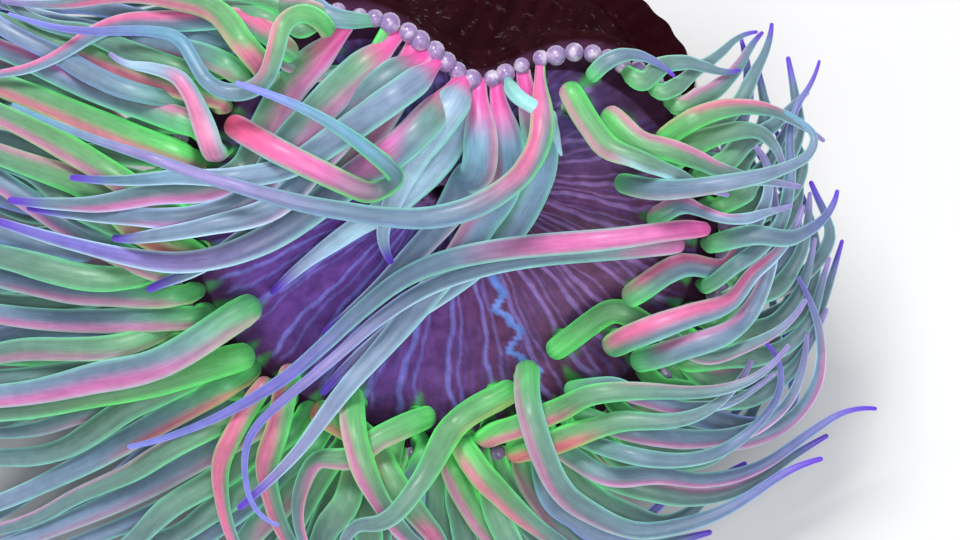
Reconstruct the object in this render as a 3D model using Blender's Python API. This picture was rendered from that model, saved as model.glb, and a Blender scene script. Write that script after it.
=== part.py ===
"""Snakelocks sea anemone, life size, as a still model.

The pedal disc stands on the floor. The short column leans forward, so the oral disc faces up and
towards -Y, and the crown of long tentacles lies over it, over one another and down to the floor.
The origin is the middle of the pedal disc's underside, +Z is up and +X is the animal's left to right
as seen from the front. Every length below is in millimetres, and every angle in degrees;
mesh_object() turns millimetres into Blender's metres.
"""

import math
import random
from dataclasses import dataclass

import bmesh
import bpy
import numpy as np

METRES = 0.001

# Foot and column
FOOT_RADIUS = 26.0
FOOT_HEIGHT = 5.0
FOOT_SIDES = 24
WAIST_RADIUS = 20.5
COLUMN_LEVELS = (0.0, 0.2, 0.42, 0.64, 0.84, 1.0)
GAP = 0.3

# Crown: an oval oral disc that leans forward on the column
CROWN_CENTRE = np.array([-7.0, -20.0, 37.0])
CROWN_LEAN = 36.0
CROWN_HALF_WIDTH = 37.0
CROWN_HALF_DEPTH = 34.5
LOBE_SIZE, LOBE_AT, LOBE_SPREAD = 0.09, math.radians(125), math.radians(30)
NOTCH_SIZE, NOTCH_AT, NOTCH_SPREAD = 0.20, math.radians(78), math.radians(15)
FALL_SLOPE = 0.55
CROWN_THICKNESS = 9.0
DISC_SHARE = 0.87
DISH_SHARE = 0.70
DISH_DEPTH = 4.5
MOUTH_HALF_LENGTH = 4.2
MOUTH_HALF_WIDTH = 2.6
MOUTH_SHIFT = 5.0
PIT_DEPTH = 2.6
DISC_SINK = 0.2
MARGIN_PIECES = 15
MARGIN_STEP = 7.0
MARGIN_INNER = 0.887
BEAD_SHARE = 0.955
BEAD_RADIUS = 1.25
BEAD_STEP = 11.0

# Tentacles
LIMB_GAP = 0.45
TIP_SHARE = 0.2
THINNEST = 0.36
ROOT_SHARE = 0.75
ELBOW_RISE = 2.6
JOINTS = 10
FLOOR_SHARE = 0.86
FREE_SHARE = 0.9
CARRIED_BAND = (0.905, 0.945)
ROOT_SLIDE = 3.5
THICK = 3.8
SLIVER = 0.12
SETTLE_ROUNDS = 900
EASING = ((0.55, 0.22, 0.02), (0.8, 0.08, 0.004), (1.0, 0.0, 0.0))

LEAN = math.radians(CROWN_LEAN)
ACROSS = np.array([1.0, 0.0, 0.0])
UPHILL = np.array([0.0, math.cos(LEAN), math.sin(LEAN)])
FACING = np.array([0.0, -math.sin(LEAN), math.cos(LEAN)])


# ---------------------------------------------------------------------------------- tentacles
@dataclass
class Tentacle:
    """One tentacle: where it grows, how long and wide it is, and the way that it turns.

    headings are plan directions (0 is +X, 90 is +Y) at equal steps along it, from elbow to tip.
    lift is how high it lies over the crown, or over the slope from the crown down to the floor.
    """

    name: str
    angle: float
    share: float
    length: float
    width: float
    headings: tuple
    lift: float = 0.0


# Name, angle round the crown, share of its radius, length, width, headings and lift.
LEFT = [
    ("left_18", 240, 0.95, 56, 3.2, (228, 216, 212, 210, 206), 0),
    ("left_17", 233, 0.94, 58, 3.2, (222, 206, 200, 203, 200), 0),
    ("left_16", 227, 0.94, 64, 3.7, (216, 206, 201, 198, 192), 1),
    ("left_15", 212, 0.95, 60, 3.6, (210, 210, 204, 194, 190), 1),
    ("left_13", 204, 0.95, 58, 3.3, (190, 181, 178, 172, 170), 0),
    ("left_12", 191, 0.87, 60, 3.4, (186, 182, 170, 170, 172), 1),
    ("left_11", 187, 0.95, 58, 3.3, (190, 170, 164, 163, 166), 1),
    ("left_10", 209, 0.84, 66, 4.1, (194, 195, 190, 180, 174, 172), 3),
    ("left_9", 198, 0.86, 64, 4.4, (205, 203, 190, 172, 160, 158), 3),
    ("left_7", 179, 0.95, 60, 3.5, (170, 150, 147, 157, 162, 164), 2),
    ("left_6", 183, 0.80, 72, 3.8, (116, 150, 166, 162, 158, 158, 159, 160), 3),
    ("left_5", 166, 0.95, 66, 3.6, (158, 154, 151, 149, 152, 158), 2),
    ("left_a", 151, 0.95, 64, 3.9, (168, 156, 161, 163, 168, 172), 1),
    ("left_b", 145, 0.95, 58, 3.6, (162, 154, 158, 164, 168), 1),
    ("left_c", 137, 0.95, 58, 3.4, (172, 158, 153, 154, 158, 162), 0),
    ("left_4b", 130, 0.95, 42, 3.2, (145, 164, 168, 165, 160), 1),
    ("left_4c", 122, 0.96, 42, 3.1, (160, 178, 180, 212, 184, 178), 0),
    ("left_4", 125, 0.87, 40, 3.3, (116, 145, 165, 172, 188, 176, 168), 2),
    ("left_1", 153, 0.85, 21, 3.1, (88, 98, 130, 168, 172, 140), 5),
]
FRONT = [
    ("front_12", 272, 0.95, 28, 3.6, (288, 306, 322, 338, 345), 0),
    ("front_10", 274, 0.84, 26, 3.7, (296, 312, 322, 334, 338), 1),
    ("front_11", 265, 0.92, 20, 3.2, (200, 242, 295, 330, 345), 1),
    ("front_14", 219, 0.93, 30, 2.8, (240, 256, 272, 287, 314, 345), 3),
    ("front_15", 224, 0.85, 32, 3.4, (250, 264, 282, 302, 325, 348), 3),
    ("front_13", 231, 0.79, 38, 4.0, (325, 311, 304, 298, 313, 328), 3),
    ("front_9", 264, 0.76, 32, 3.4, (178, 186, 208, 242, 262, 290, 315), 3),
    ("front_8", 243, 0.84, 30, 3.6, (284, 295, 310, 325, 335, 352), 5),
    ("front_7", 298, 0.60, 39, 3.7, (214, 220, 221, 218, 211, 240, 290, 325), 6),
]
RIGHT = [
    ("right_20", 318, 0.90, 42, 3.0, (322, 336, 358, 20, 56, 92, 112, 126), 0),
    ("right_19", 305, 0.88, 36, 3.2, (344, 350, 354, 8, 40, 76, 90), 0),
    ("right_18", 301, 0.94, 38, 2.4, (328, 338, 356, 16, 40, 58, 104, 152), 0),
    ("right_5", 295, 0.87, 46, 2.9, (338, 334, 344, 0, 22, 38, 32, 354), 1),
    ("right_2", 303, 0.72, 29, 2.8, (5, 6, 350, 342, 4, 30, 42), 1),
    ("right_4", 289, 0.90, 32, 3.5, (45, 18, 357, 356, 12, 38, 66), 3),
    ("right_3", 281, 0.84, 42, 3.3, (72, 30, 358, 354, 352, 6, 30, 54), 4),
    ("front_6", 289, 0.70, 54, 3.6, (266, 294, 320, 350, 14, 27, 36, 14), 4),
    ("right_1", 308, 0.63, 34, 3.3, (34, 36, 346, 334, 352, 12, 36, 62), 4),
    ("right_13", 334, 0.82, 29, 3.7, (16, 24, 30, 50, 72, 98, 120), 2),
    ("right_12", 331, 0.70, 29, 3.6, (40, 30, 24, 27, 36, 62, 85), 4),
    ("right_11", 349, 0.68, 29, 3.5, (22, 18, 20, 34, 66, 112, 150), 4),
    ("right_14", 357, 0.92, 33, 2.2, (4, 22, 52, 92, 95, 78, 55, 76), 1),
    ("right_8", 8, 0.92, 17, 2.8, (0, 358, 12, 36, 80), 1),
    ("right_7", 16, 0.84, 17, 2.8, (352, 350, 10, 40), 2),
    ("right_17", 60, 0.94, 12, 2.2, (30, 12, 340, 318), 1),
    ("right_16", 34, 0.88, 17, 3.3, (20, 12, 325, 284), 2),
    ("right_15", 43, 0.89, 23, 2.9, (20, 10, 358, 334, 328), 3),
    ("right_10", 50, 0.84, 25, 3.3, (328, 328, 338, 352, 356), 3),
    ("right_9", 57, 0.82, 24, 3.3, (304, 316, 334, 346, 353), 4),
    ("right_6", 22, 0.74, 27.5, 3.2, (10, 5, 3, 8, 15, 50, 110, 155, 172), 4),
]
BACK = [
    ("back_12", 112, 0.87, 44, 3.2, (222, 216, 203, 189, 180, 172), 1),
    ("back_10", 106, 0.91, 48, 3.3, (225, 219, 208, 194, 177, 170), 1),
    ("back_11", 101, 0.80, 40, 3.4, (240, 228, 210, 204, 206), 1),
    ("back_9", 100, 0.94, 46, 3.4, (258, 220, 210, 206, 196, 180), 2),
    ("back_8", 96, 0.86, 46, 2.8, (213, 209, 204, 189, 180, 172), 3),
    ("back_2", 85, 0.77, 33, 3.1, (238, 230, 212, 216, 224), 2),
    ("back_4", 80, 0.87, 36, 3.2, (270, 242, 226, 222, 216), 1),
    ("back_5", 76, 0.76, 60, 3.0, (278, 248, 228, 228, 228, 223, 220), 2),
    ("back_6", 71, 0.83, 46, 3.2, (286, 250, 220, 217, 220, 230), 2),
    ("back_7", 68, 0.93, 9, 3.2, (284, 288, 290), 3),
    ("back_3", 91, 0.78, 22, 3.2, (238, 243, 238, 256, 304), 4),
    ("back_13", 88, 0.91, 71, 3.2, (244, 227, 218, 215, 212, 205, 190, 171, 165, 164, 161, 167), 4),
]
CURL = (130, 190, 248, 252, 215, 180, 120, 118, 165, 174, 178, 172, 166, 160, 158)
HAIRPIN = (333, 338, 341, 328, 322, 60, 140, 146, 153, 163, 166, 168)
OVER_DISC = [
    ("over_5", 115, 0.95, 50, 2.5, CURL, 6),
    ("over_4", 140, 0.87, 48, 3.4, HAIRPIN, 7),
    ("over_2", 0, 0.82, 74, 2.7, (184, 180, 180, 186, 196, 212, 222, 219, 230, 272, 335), 4),
    ("over_3", 9, 0.83, 78, 3.7, (182, 187, 187, 190, 193, 203, 224, 227, 219, 209, 204, 198, 190), 5),
    ("over_1", 63, 0.82, 81, 3.9, (288, 244, 206, 182, 175, 171, 167, 164, 160, 160, 156, 153), 8),
]

# The outer cycle turns with the current: angle round the crown, heading at elbow and tip, length.
CURRENT = [
    (108, 166, 166, 42),
    (150, 166, 160, 56),
    (180, 180, 172, 58),
    (215, 200, 184, 58),
    (245, 228, 196, 50),
    (268, 275, 325, 36),
    (290, 318, 20, 34),
    (320, 340, 60, 28),
    (350, 5, 90, 20),
    (375, 20, 75, 16),
    (412, 20, 330, 14),
]
OUTER_SHARE = 0.94
OUTER_WIDTH = 3.1
OUTER_STEP = 2.0
ROOT_SPACING = 3.9


def outer_cycle(taken):
    """More tentacles for the margin, wherever the roots already taken leave room; the back stays bare."""
    chance = random.Random(11)
    angles, starts, ends, lengths = (np.array(column, float) for column in zip(*CURRENT))
    starts, ends = np.unwrap(starts, period=360), np.unwrap(ends, period=360)
    grown = []
    for angle in np.arange(angles[0], angles[-1], OUTER_STEP):
        root = crown_point(OUTER_SHARE, angle, 0)
        if min(np.linalg.norm(root - other) for other in taken) < ROOT_SPACING:
            continue
        taken.append(root)
        start, end = np.interp(angle, angles, starts), np.interp(angle, angles, ends)
        wobble = chance.uniform(-9, 9)
        headings = (start, start + wobble, (start + end) / 2 - wobble, end + wobble, end)
        length = np.interp(angle, angles, lengths) * chance.uniform(0.85, 1.1)
        name = f"outer_{len(grown) + 1:02d}"
        grown.append(Tentacle(name, angle, OUTER_SHARE, length, OUTER_WIDTH, headings))
    return grown


def all_tentacles():
    """Every tentacle, in the order in which they lie on one another."""
    rows = [Tentacle(*row) for group in (LEFT, FRONT, RIGHT, BACK, OVER_DISC) for row in group]
    return outer_cycle([crown_point(row.share, row.angle, 0) for row in rows]) + rows


def width_share(along):
    """Half width along a tentacle as a share of its widest: narrow root, full elbow, long taper."""
    grown = np.interp(along, (0, 0.04, 0.08), (ROOT_SHARE, 0.86, 1.0))
    return grown * np.interp(along, (0.0, 0.3, 1.0), (1.0, 1.0, TIP_SHARE))


def plan_of(tentacle, start, count):
    """Plan points of the limb from its elbow on, closer together where it turns, and how far along."""
    along = np.linspace(0, 1, 400)
    knots = np.linspace(0, 1, len(tentacle.headings))
    heading = np.radians(np.interp(along, knots, np.unwrap(tentacle.headings, period=360)))
    moves = np.stack([np.cos(heading), np.sin(heading)], axis=1) * (tentacle.length / 399)
    path = start + np.concatenate([[[0, 0]], np.cumsum(moves[:-1], axis=0)])
    turning = np.cumsum(tentacle.length / 399 / 12.0 + np.abs(np.gradient(heading)))
    chosen = np.interp(np.linspace(turning[0], turning[-1], count), turning, along)
    return np.stack([np.interp(chosen, along, path[:, i]) for i in (0, 1)], axis=1), chosen


def outline(turn):
    """The crown's edge against an oval, by the angle round it in radians: a lobe and a notch."""
    lobe = LOBE_SIZE * np.exp(-(np.angle(np.exp(1j * (turn - LOBE_AT))) / LOBE_SPREAD) ** 2)
    notch = NOTCH_SIZE * np.exp(-(np.angle(np.exp(1j * (turn - NOTCH_AT))) / NOTCH_SPREAD) ** 2)
    return lobe - notch


def crown_point(share, angle, height):
    """A point of the crown: share of the way to its edge, angle round it, height over its plane."""
    turn = math.radians(angle)
    reach = share * (1 + outline(turn) * share**2)
    return (
        CROWN_CENTRE
        + ACROSS * (CROWN_HALF_WIDTH * reach * math.cos(turn))
        + UPHILL * (CROWN_HALF_DEPTH * reach * math.sin(turn))
        + FACING * height
    )


def crown_place(points):
    """Where points are over the crown: across and uphill, as shares of its radius, and height over it."""
    away = points - CROWN_CENTRE
    return away @ ACROSS / CROWN_HALF_WIDTH, away @ UPHILL / CROWN_HALF_DEPTH, away @ FACING


def edge_share(u, v):
    """How far out a place on the crown is, as a share of the way to its edge: crown_point's inverse."""
    reach, lobes = np.hypot(u, v), outline(np.arctan2(v, u))
    share = reach.clip(0, 1)
    for _ in range(5):
        share = share - (share * (1 + lobes * share**2) - reach) / (1 + 3 * lobes * share**2)
        share = share.clip(0, 1)
    return np.where(reach < 1 + lobes, share, reach / (1 + lobes))


def dish(share):
    """The oral disc's height over the crown's plane."""
    return -DISH_DEPTH * (1 - np.minimum(share / DISH_SHARE, 1) ** 2)


def landscape(plan):
    """Height of the ground under plan points: the crown, and the slope from its edge to the floor."""
    u = (plan[:, 0] - CROWN_CENTRE[0]) / CROWN_HALF_WIDTH
    v = (plan[:, 1] - CROWN_CENTRE[1]) / (CROWN_HALF_DEPTH * UPHILL[1])
    out = edge_share(u, v)
    over = CROWN_CENTRE[2] + v * CROWN_HALF_DEPTH * UPHILL[2] / np.maximum(out, 1)
    over += dish(out) / FACING[2]
    beyond = np.maximum(out - 1, 0) * (CROWN_HALF_WIDTH + CROWN_HALF_DEPTH * UPHILL[1]) / 2
    return 4 * np.logaddexp(0, (over - FALL_SLOPE * beyond) / 4)


def first_line(tentacle):
    """The centre line that a tentacle would take with no other in its way, and its half widths."""
    radius = tentacle.width / 2
    root = crown_point(tentacle.share, tentacle.angle, dish(tentacle.share) + GAP)
    corner = root + FACING * ELBOW_RISE
    turn = math.radians(tentacle.headings[0])
    start = corner[:2] + np.array([math.cos(turn), math.sin(turn)]) * radius * 1.3
    plan, along = plan_of(tentacle, start, JOINTS - 2)
    radii = radius * width_share(0.07 + 0.93 * along)
    ground = landscape(plan) + radii + LIMB_GAP + tentacle.lift
    top = corner[2] + radius * 0.35
    heights = ground + (top - ground[0]) * np.exp(-along * tentacle.length / 8)
    line = np.concatenate([[root, corner], np.column_stack([plan, heights])])
    return line, np.concatenate([radius * width_share(np.array([0, 0.04])), radii])


class Crowd:
    """Every tentacle's centre line, eased together until none runs through another."""

    def __init__(self, tentacles):
        lines = [first_line(tentacle) for tentacle in tentacles]
        self.aim = np.array([line for line, _ in lines])
        self.radii = np.array([radii for _, radii in lines])
        self.lengths = np.linalg.norm(self.aim[:, 1:] - self.aim[:, :-1], axis=2)
        bends = self.aim[:, :-2] + self.aim[:, 2:] - 2 * self.aim[:, 1:-1]
        self.bends = np.linalg.norm(bends, axis=2)
        self.points = self.aim.copy()
        self.rank = np.arange(len(tentacles), dtype=float)
        bands = [CARRIED_BAND if t.share >= FREE_SHARE else (0.4, FREE_SHARE) for t in tentacles]
        self.band = np.array(bands).T

    def pairs(self, reach):
        """Index pairs of the segments that are near one another: (line, segment) of each."""
        lines, joints, _ = self.points.shape
        middles = ((self.points[:, 1:] + self.points[:, :-1]) / 2).reshape(-1, 3)
        halves = np.linalg.norm(self.points[:, 1:] - self.points[:, :-1], axis=2).reshape(-1) / 2
        halves = halves + np.maximum(self.radii[:, 1:], self.radii[:, :-1]).reshape(-1)
        line = np.repeat(np.arange(lines), joints - 1)
        place = np.tile(np.arange(joints - 1), lines)
        square = (middles**2).sum(axis=1)
        far = square[:, None] + square[None] - 2 * middles @ middles.T
        near = far < (halves[:, None] + halves[None] + reach) ** 2
        first, second = np.nonzero(np.triu(near, 1))
        keep = (line[first] != line[second]) | (np.abs(place[first] - place[second]) > 3)
        first, second = first[keep], second[keep]
        return line[first], place[first], line[second], place[second]

    def separate(self, pairs, gap, most):
        """Pushes near segments apart to their gap, and returns the smallest clearance found."""
        la, sa, lb, sb = pairs
        p, q = self.points[la, sa], self.points[lb, sb]
        d, e = self.points[la, sa + 1] - p, self.points[lb, sb + 1] - q
        w = p - q
        dd, ee, de = (d * d).sum(1), (e * e).sum(1), (d * e).sum(1)
        dw, ew = (d * w).sum(1), (e * w).sum(1)
        span = dd * ee - de * de
        skew = span > 0.02 * dd * ee
        s = np.where(skew, (de * ew - dw * ee) / np.where(skew, span, 1), 0.5).clip(0, 1)
        t = ((de * s + ew) / ee).clip(0, 1)
        s = ((de * t - dw) / dd).clip(0, 1)
        apart = w + d * s[:, None] - e * t[:, None]
        distance = np.linalg.norm(apart, axis=1)
        ra = self.radii[la, sa] * (1 - s) + self.radii[la, sa + 1] * s
        rb = self.radii[lb, sb] * (1 - t) + self.radii[lb, sb + 1] * t
        need = ra + rb + gap
        flat = (np.abs(d[:, 2]) < 0.75 * np.sqrt(dd)) & (np.abs(e[:, 2]) < 0.75 * np.sqrt(ee))
        crossing = flat & (np.abs(de) < 0.9 * np.sqrt(dd * ee)) & (la != lb)
        sign = np.sign(self.rank[la] - self.rank[lb])
        way = apart / np.maximum(distance, 1e-6)[:, None]
        push = need - distance
        wrong = crossing & (distance < need) & (apart[:, 2] * sign < 0.6 * distance)
        way[wrong] = np.array([0, 0, 1.0]) * sign[wrong, None]
        push[wrong] = (need - apart[:, 2] * sign)[wrong]
        hit = push > 0
        way, push, s, t = way[hit], push[hit].clip(0, most), s[hit], t[hit]
        la, sa, lb, sb = la[hit], sa[hit], lb[hit], sb[hit]
        total = np.zeros_like(self.points)
        count = np.zeros(self.radii.shape)
        for line, joint, weight, turn in (
            (la, sa, 1 - s, 1), (la, sa + 1, s, 1), (lb, sb, 1 - t, -1), (lb, sb + 1, t, -1),
        ):
            np.add.at(total, (line, joint), way * (0.62 * turn * weight * push)[:, None])
            np.add.at(count, (line, joint), weight)
        self.points += total / np.maximum(1, count)[:, :, None]
        return float((distance - need + gap).min()) if len(distance) else gap

    def stand(self):
        """Keeps roots on the crown, and every limb over the floor and outside the crown."""
        shift = (self.points[:, :2] - self.aim[:, :2]).mean(axis=1)
        shift *= np.minimum(1, ROOT_SLIDE / np.maximum(np.linalg.norm(shift, axis=1), 1e-6))[:, None]
        u, v, _ = crown_place(self.aim[:, 0] + shift)
        share = edge_share(u, v)
        pull = share.clip(self.band[0], self.band[1]) / share
        u, v = u * pull, v * pull
        root = CROWN_CENTRE + ACROSS * (u * CROWN_HALF_WIDTH)[:, None]
        root = root + UPHILL * (v * CROWN_HALF_DEPTH)[:, None]
        self.points[:, 0] = root + FACING * (dish(edge_share(u, v)) + GAP)[:, None]
        corner = self.points[:, 0] + FACING * ELBOW_RISE
        bend = self.points[:, 2] - corner
        length = np.linalg.norm(self.aim[:, 2] - self.aim[:, 1], axis=1)
        bend += FACING * (length * 0.3 - bend @ FACING).clip(0, None)[:, None]
        self.points[:, 1] = corner
        self.points[:, 2] = corner + bend * (length / np.linalg.norm(bend, axis=1))[:, None]
        limb = self.points[:, 3:]
        radii = self.radii[:, 3:]
        limb[..., 2] = np.maximum(limb[..., 2], radii * FLOOR_SHARE)
        u, v, height = crown_place(limb)
        out = edge_share(u, v)
        up = dish(out) + radii + LIMB_GAP - height
        aside = (1 - out) * (CROWN_HALF_WIDTH + CROWN_HALF_DEPTH) / 2 + radii + LIMB_GAP
        hit = (up > 0) & (aside > 0)
        rise = hit & (up <= aside)
        limb += FACING * np.where(rise, up, 0)[..., None]
        ratio = aside / np.maximum(out * (CROWN_HALF_WIDTH + CROWN_HALF_DEPTH) / 2, 1e-6)
        ratio = np.where(hit & ~rise, ratio, 0)
        limb += ACROSS * (u * CROWN_HALF_WIDTH * ratio)[..., None]
        limb += UPHILL * (v * CROWN_HALF_DEPTH * ratio)[..., None]

    def keep_lengths(self):
        """Keeps every segment near the length that it has in its aim, and no bend much sharper."""
        steps = self.points[:, 1:] - self.points[:, :-1]
        lengths = np.linalg.norm(steps, axis=2)
        wrong = lengths - lengths.clip(self.lengths * 0.88, self.lengths * 1.12)
        shift = steps * (0.35 * wrong / np.maximum(lengths, 1e-6))[:, :, None]
        self.points[:, :-1] += shift
        self.points[:, 1:] -= shift
        bend = self.points[:, :-2] + self.points[:, 2:] - 2 * self.points[:, 1:-1]
        size = np.maximum(np.linalg.norm(bend, axis=2), 1e-6)
        most = self.bends + 0.25 * (self.lengths[:, 1:] + self.lengths[:, :-1])
        self.points[:, 1:-1] += bend * (0.25 * (1 - most / size).clip(0, 1))[:, :, None]

    def settle(self, rounds):
        """Eases the whole crowd: back towards its aim and smoothly at first, then only kept apart."""
        for i in range(rounds):
            if i % 6 == 0:
                pairs = self.pairs(3.0)
            smooth, back = next(values for share, *values in EASING if i < share * rounds)
            moved = self.points - self.aim
            eased = moved.copy()
            eased[:, 1:-1] += smooth * (moved[:, :-2] + moved[:, 2:] - 2 * moved[:, 1:-1])
            eased[:, -1] += smooth * (moved[:, -2] - moved[:, -1])
            self.points = self.aim + eased * (1 - back)
            self.keep_lengths()
            clear = self.separate(pairs, LIMB_GAP, 1.5)
            self.stand()
        return clear

    def thin(self):
        """Narrows the few places where two tentacles still come closer than a sliver."""
        self.radii = np.maximum(self.radii, THINNEST)
        for _ in range(12):
            la, sa, lb, sb = self.pairs(1.0)
            for s in (0.0, 0.25, 0.5, 0.75, 1.0):
                p = self.points[la, sa] * (1 - s) + self.points[la, sa + 1] * s
                q, e = self.points[lb, sb], self.points[lb, sb + 1] - self.points[lb, sb]
                t = (((p - q) * e).sum(1) / (e * e).sum(1)).clip(0, 1)
                distance = np.linalg.norm(p - q - e * t[:, None], axis=1)
                ra = self.radii[la, sa] * (1 - s) + self.radii[la, sa + 1] * s
                rb = self.radii[lb, sb] * (1 - t) + self.radii[lb, sb + 1] * t
                for i in np.nonzero(distance - ra - rb < SLIVER)[0]:
                    keep = max(0.35, 1 - (ra[i] + rb[i] + SLIVER - distance[i]) / (ra[i] + rb[i]))
                    for radii in (self.radii[la[i], sa[i] : sa[i] + 2], self.radii[lb[i], sb[i] : sb[i] + 2]):
                        radii[:] = np.maximum(radii * (0.4 + 0.6 * keep), THINNEST)


def tube(points, radii, sides, first_way=None):
    """Vertices and faces of a closed tube round a centre line."""
    ways = np.gradient(points, axis=0)
    if first_way is not None:
        ways[0] = first_way
    ways /= np.linalg.norm(ways, axis=1)[:, None]
    side = np.cross(ways[0], UPHILL)
    vertices = []
    for centre, way, radius in zip(points, ways, radii):
        side = side - way * np.dot(side, way)
        side /= np.linalg.norm(side)
        other = np.cross(way, side)
        for k in range(sides):
            turn = 2 * math.pi * (k + 0.5) / sides
            vertices.append(centre + radius * (side * math.cos(turn) + other * math.sin(turn)))
    return np.array(vertices), band_faces(len(points), sides, capped=True)


# ---------------------------------------------------------------------------------- meshes
def band_faces(rings, sides, capped=False, closed=False):
    """Quads between rings of points; capped closes both ends, closed joins the last ring to the first."""
    faces = []
    for ring in range(rings if closed else rings - 1):
        after = (ring + 1) % rings
        for k in range(sides):
            j = (k + 1) % sides
            faces.append((ring * sides + k, ring * sides + j, after * sides + j, after * sides + k))
    if capped:
        faces.append(tuple(reversed(range(sides))))
        faces.append(tuple(range((rings - 1) * sides, rings * sides)))
    return faces


def mesh_object(name, vertices, faces, material, smooth=True):
    """A Blender object from points in millimetres, with its normals turned outwards."""
    mesh = bpy.data.meshes.new(name)
    mesh.from_pydata([tuple(v * METRES) for v in np.asarray(vertices, float)], [], faces)
    shape = bmesh.new()
    shape.from_mesh(mesh)
    bmesh.ops.recalc_face_normals(shape, faces=shape.faces)
    shape.to_mesh(mesh)
    shape.free()
    for polygon in mesh.polygons:
        polygon.use_smooth = smooth
    mesh.materials.append(material)
    thing = bpy.data.objects.new(name, mesh)
    bpy.context.scene.collection.objects.link(thing)
    return thing


def joined(parts):
    """Vertices and faces of several separate shapes as one list."""
    vertices, faces, count = [], [], 0
    for points, around in parts:
        vertices.extend(points)
        faces.extend(tuple(i + count for i in face) for face in around)
        count += len(points)
    return vertices, faces


def union(thing, vertices, faces):
    """Joins other closed shapes to a body with an exact Boolean."""
    tool = mesh_object(thing.name + "_tool", vertices, faces, thing.data.materials[0])
    tool.hide_render = True
    tool.display_type = "WIRE"
    modifier = thing.modifiers.new("join", "BOOLEAN")
    modifier.operation = "UNION"
    modifier.solver = "EXACT"
    modifier.object = tool
    modifier.use_self = True
    bpy.context.view_layer.update()
    result = bpy.data.meshes.new_from_object(thing.evaluated_get(bpy.context.evaluated_depsgraph_get()))
    thing.modifiers.clear()
    thing.data = result
    bpy.data.objects.remove(tool)


def material(name, colour, roughness):
    """A Principled material with its own colour."""
    made = bpy.data.materials.new(name)
    made.use_nodes = True
    shader = made.node_tree.nodes["Principled BSDF"]
    shader.inputs["Base Color"].default_value = (*colour, 1.0)
    shader.inputs["Roughness"].default_value = roughness
    made.diffuse_color = (*colour, 1.0)
    return made


# ---------------------------------------------------------------------------------- body
def foot_radius(turn):
    """The pedal disc's edge: nearly round, with a few soft lobes."""
    return FOOT_RADIUS * (1 + 0.045 * math.sin(5 * turn + 0.6) + 0.03 * math.sin(3 * turn))


def make_foot(finish):
    """The pedal disc, flat underneath, spread on the floor."""
    turns = [2 * math.pi * k / FOOT_SIDES for k in range(FOOT_SIDES)]
    profile = [(0.97, 0.0), (1.0, 0.9), (0.98, 2.0), (0.90, 3.4), (0.80, FOOT_HEIGHT)]
    vertices = [
        (foot_radius(t) * share * math.cos(t), foot_radius(t) * share * math.sin(t), height)
        for share, height in profile
        for t in turns
    ]
    mesh_object("foot", vertices, band_faces(len(profile), FOOT_SIDES, capped=True), finish)


def make_column(finish):
    """The short column: it rises from the foot, narrows, and widens again as it leans forward."""
    rings = []
    for level in COLUMN_LEVELS:
        ease = level * level * (3 - 2 * level)
        lean = LEAN * ease
        across, up = np.array([1.0, 0, 0]), np.array([0, math.cos(lean), math.sin(lean)])
        top = CROWN_CENTRE - FACING * (CROWN_THICKNESS + GAP)
        base = np.array([0, 0, FOOT_HEIGHT + GAP])
        middle = base * (1 - ease) + top * ease
        middle[2] = base[2] + (top[2] - base[2]) * level
        width = np.interp(level, (0, 0.45, 1), (FOOT_RADIUS * 0.78, WAIST_RADIUS, CROWN_HALF_WIDTH * 0.80))
        depth = np.interp(level, (0, 0.45, 1), (FOOT_RADIUS * 0.78, WAIST_RADIUS, CROWN_HALF_DEPTH * 0.80))
        for k in range(FOOT_SIDES):
            turn = 2 * math.pi * k / FOOT_SIDES
            edge = 1 + outline(turn) * ease
            rings.append(middle + (across * width * math.cos(turn) + up * depth * math.sin(turn)) * edge)
    faces = band_faces(len(COLUMN_LEVELS), FOOT_SIDES, capped=True)
    mesh_object("column", rings, faces, finish)


def mouth_point(size, turn, height):
    """A point of the mouth: size as a share of its oval, angle round it, height over the crown's plane."""
    return (
        CROWN_CENTRE
        + ACROSS * (MOUTH_HALF_LENGTH * size * math.cos(turn))
        + UPHILL * (MOUTH_SHIFT + MOUTH_HALF_WIDTH * size * math.sin(turn))
        + FACING * height
    )


def make_disc(finish):
    """The oral disc: a shallow dish with a pit for the mouth, thick enough to carry the tentacles."""
    sides = 44
    turns = [2 * math.pi * k / sides for k in range(sides)]
    rings = [[mouth_point(1.0, t, -DISH_DEPTH - PIT_DEPTH) for t in turns]]
    for step in (0.0, 0.25, 0.5, 0.75, 1.0):
        ring = []
        for t in turns:
            inner = mouth_point(1.0, t, 0)
            outer = crown_point(DISC_SHARE, math.degrees(t), 0)
            point = inner * (1 - step) + outer * step
            u, v, _ = crown_place(point)
            ring.append(point + FACING * (dish(edge_share(u, v)) - DISC_SINK))
        rings.append(ring)
    rings.append([crown_point(DISC_SHARE, math.degrees(t), -CROWN_THICKNESS) for t in turns])
    vertices = [point for ring in rings for point in ring]
    mesh_object("oral_disc", vertices, band_faces(len(rings), sides, capped=True), finish)


def make_mouth(finish):
    """The mouth: an oval throat with raised lips and a slit between them."""
    sides = 16
    profile = [(0.9, 0.3 - PIT_DEPTH), (0.9, 0.4), (0.84, 1.1), (0.66, 1.3), (0.5, 0.7), (0.42, -1.6)]
    vertices = [
        mouth_point(size, 2 * math.pi * k / sides, height - DISH_DEPTH)
        for size, height in profile
        for k in range(sides)
    ]
    mesh_object("mouth", vertices, band_faces(len(profile), sides, capped=True), finish)


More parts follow.
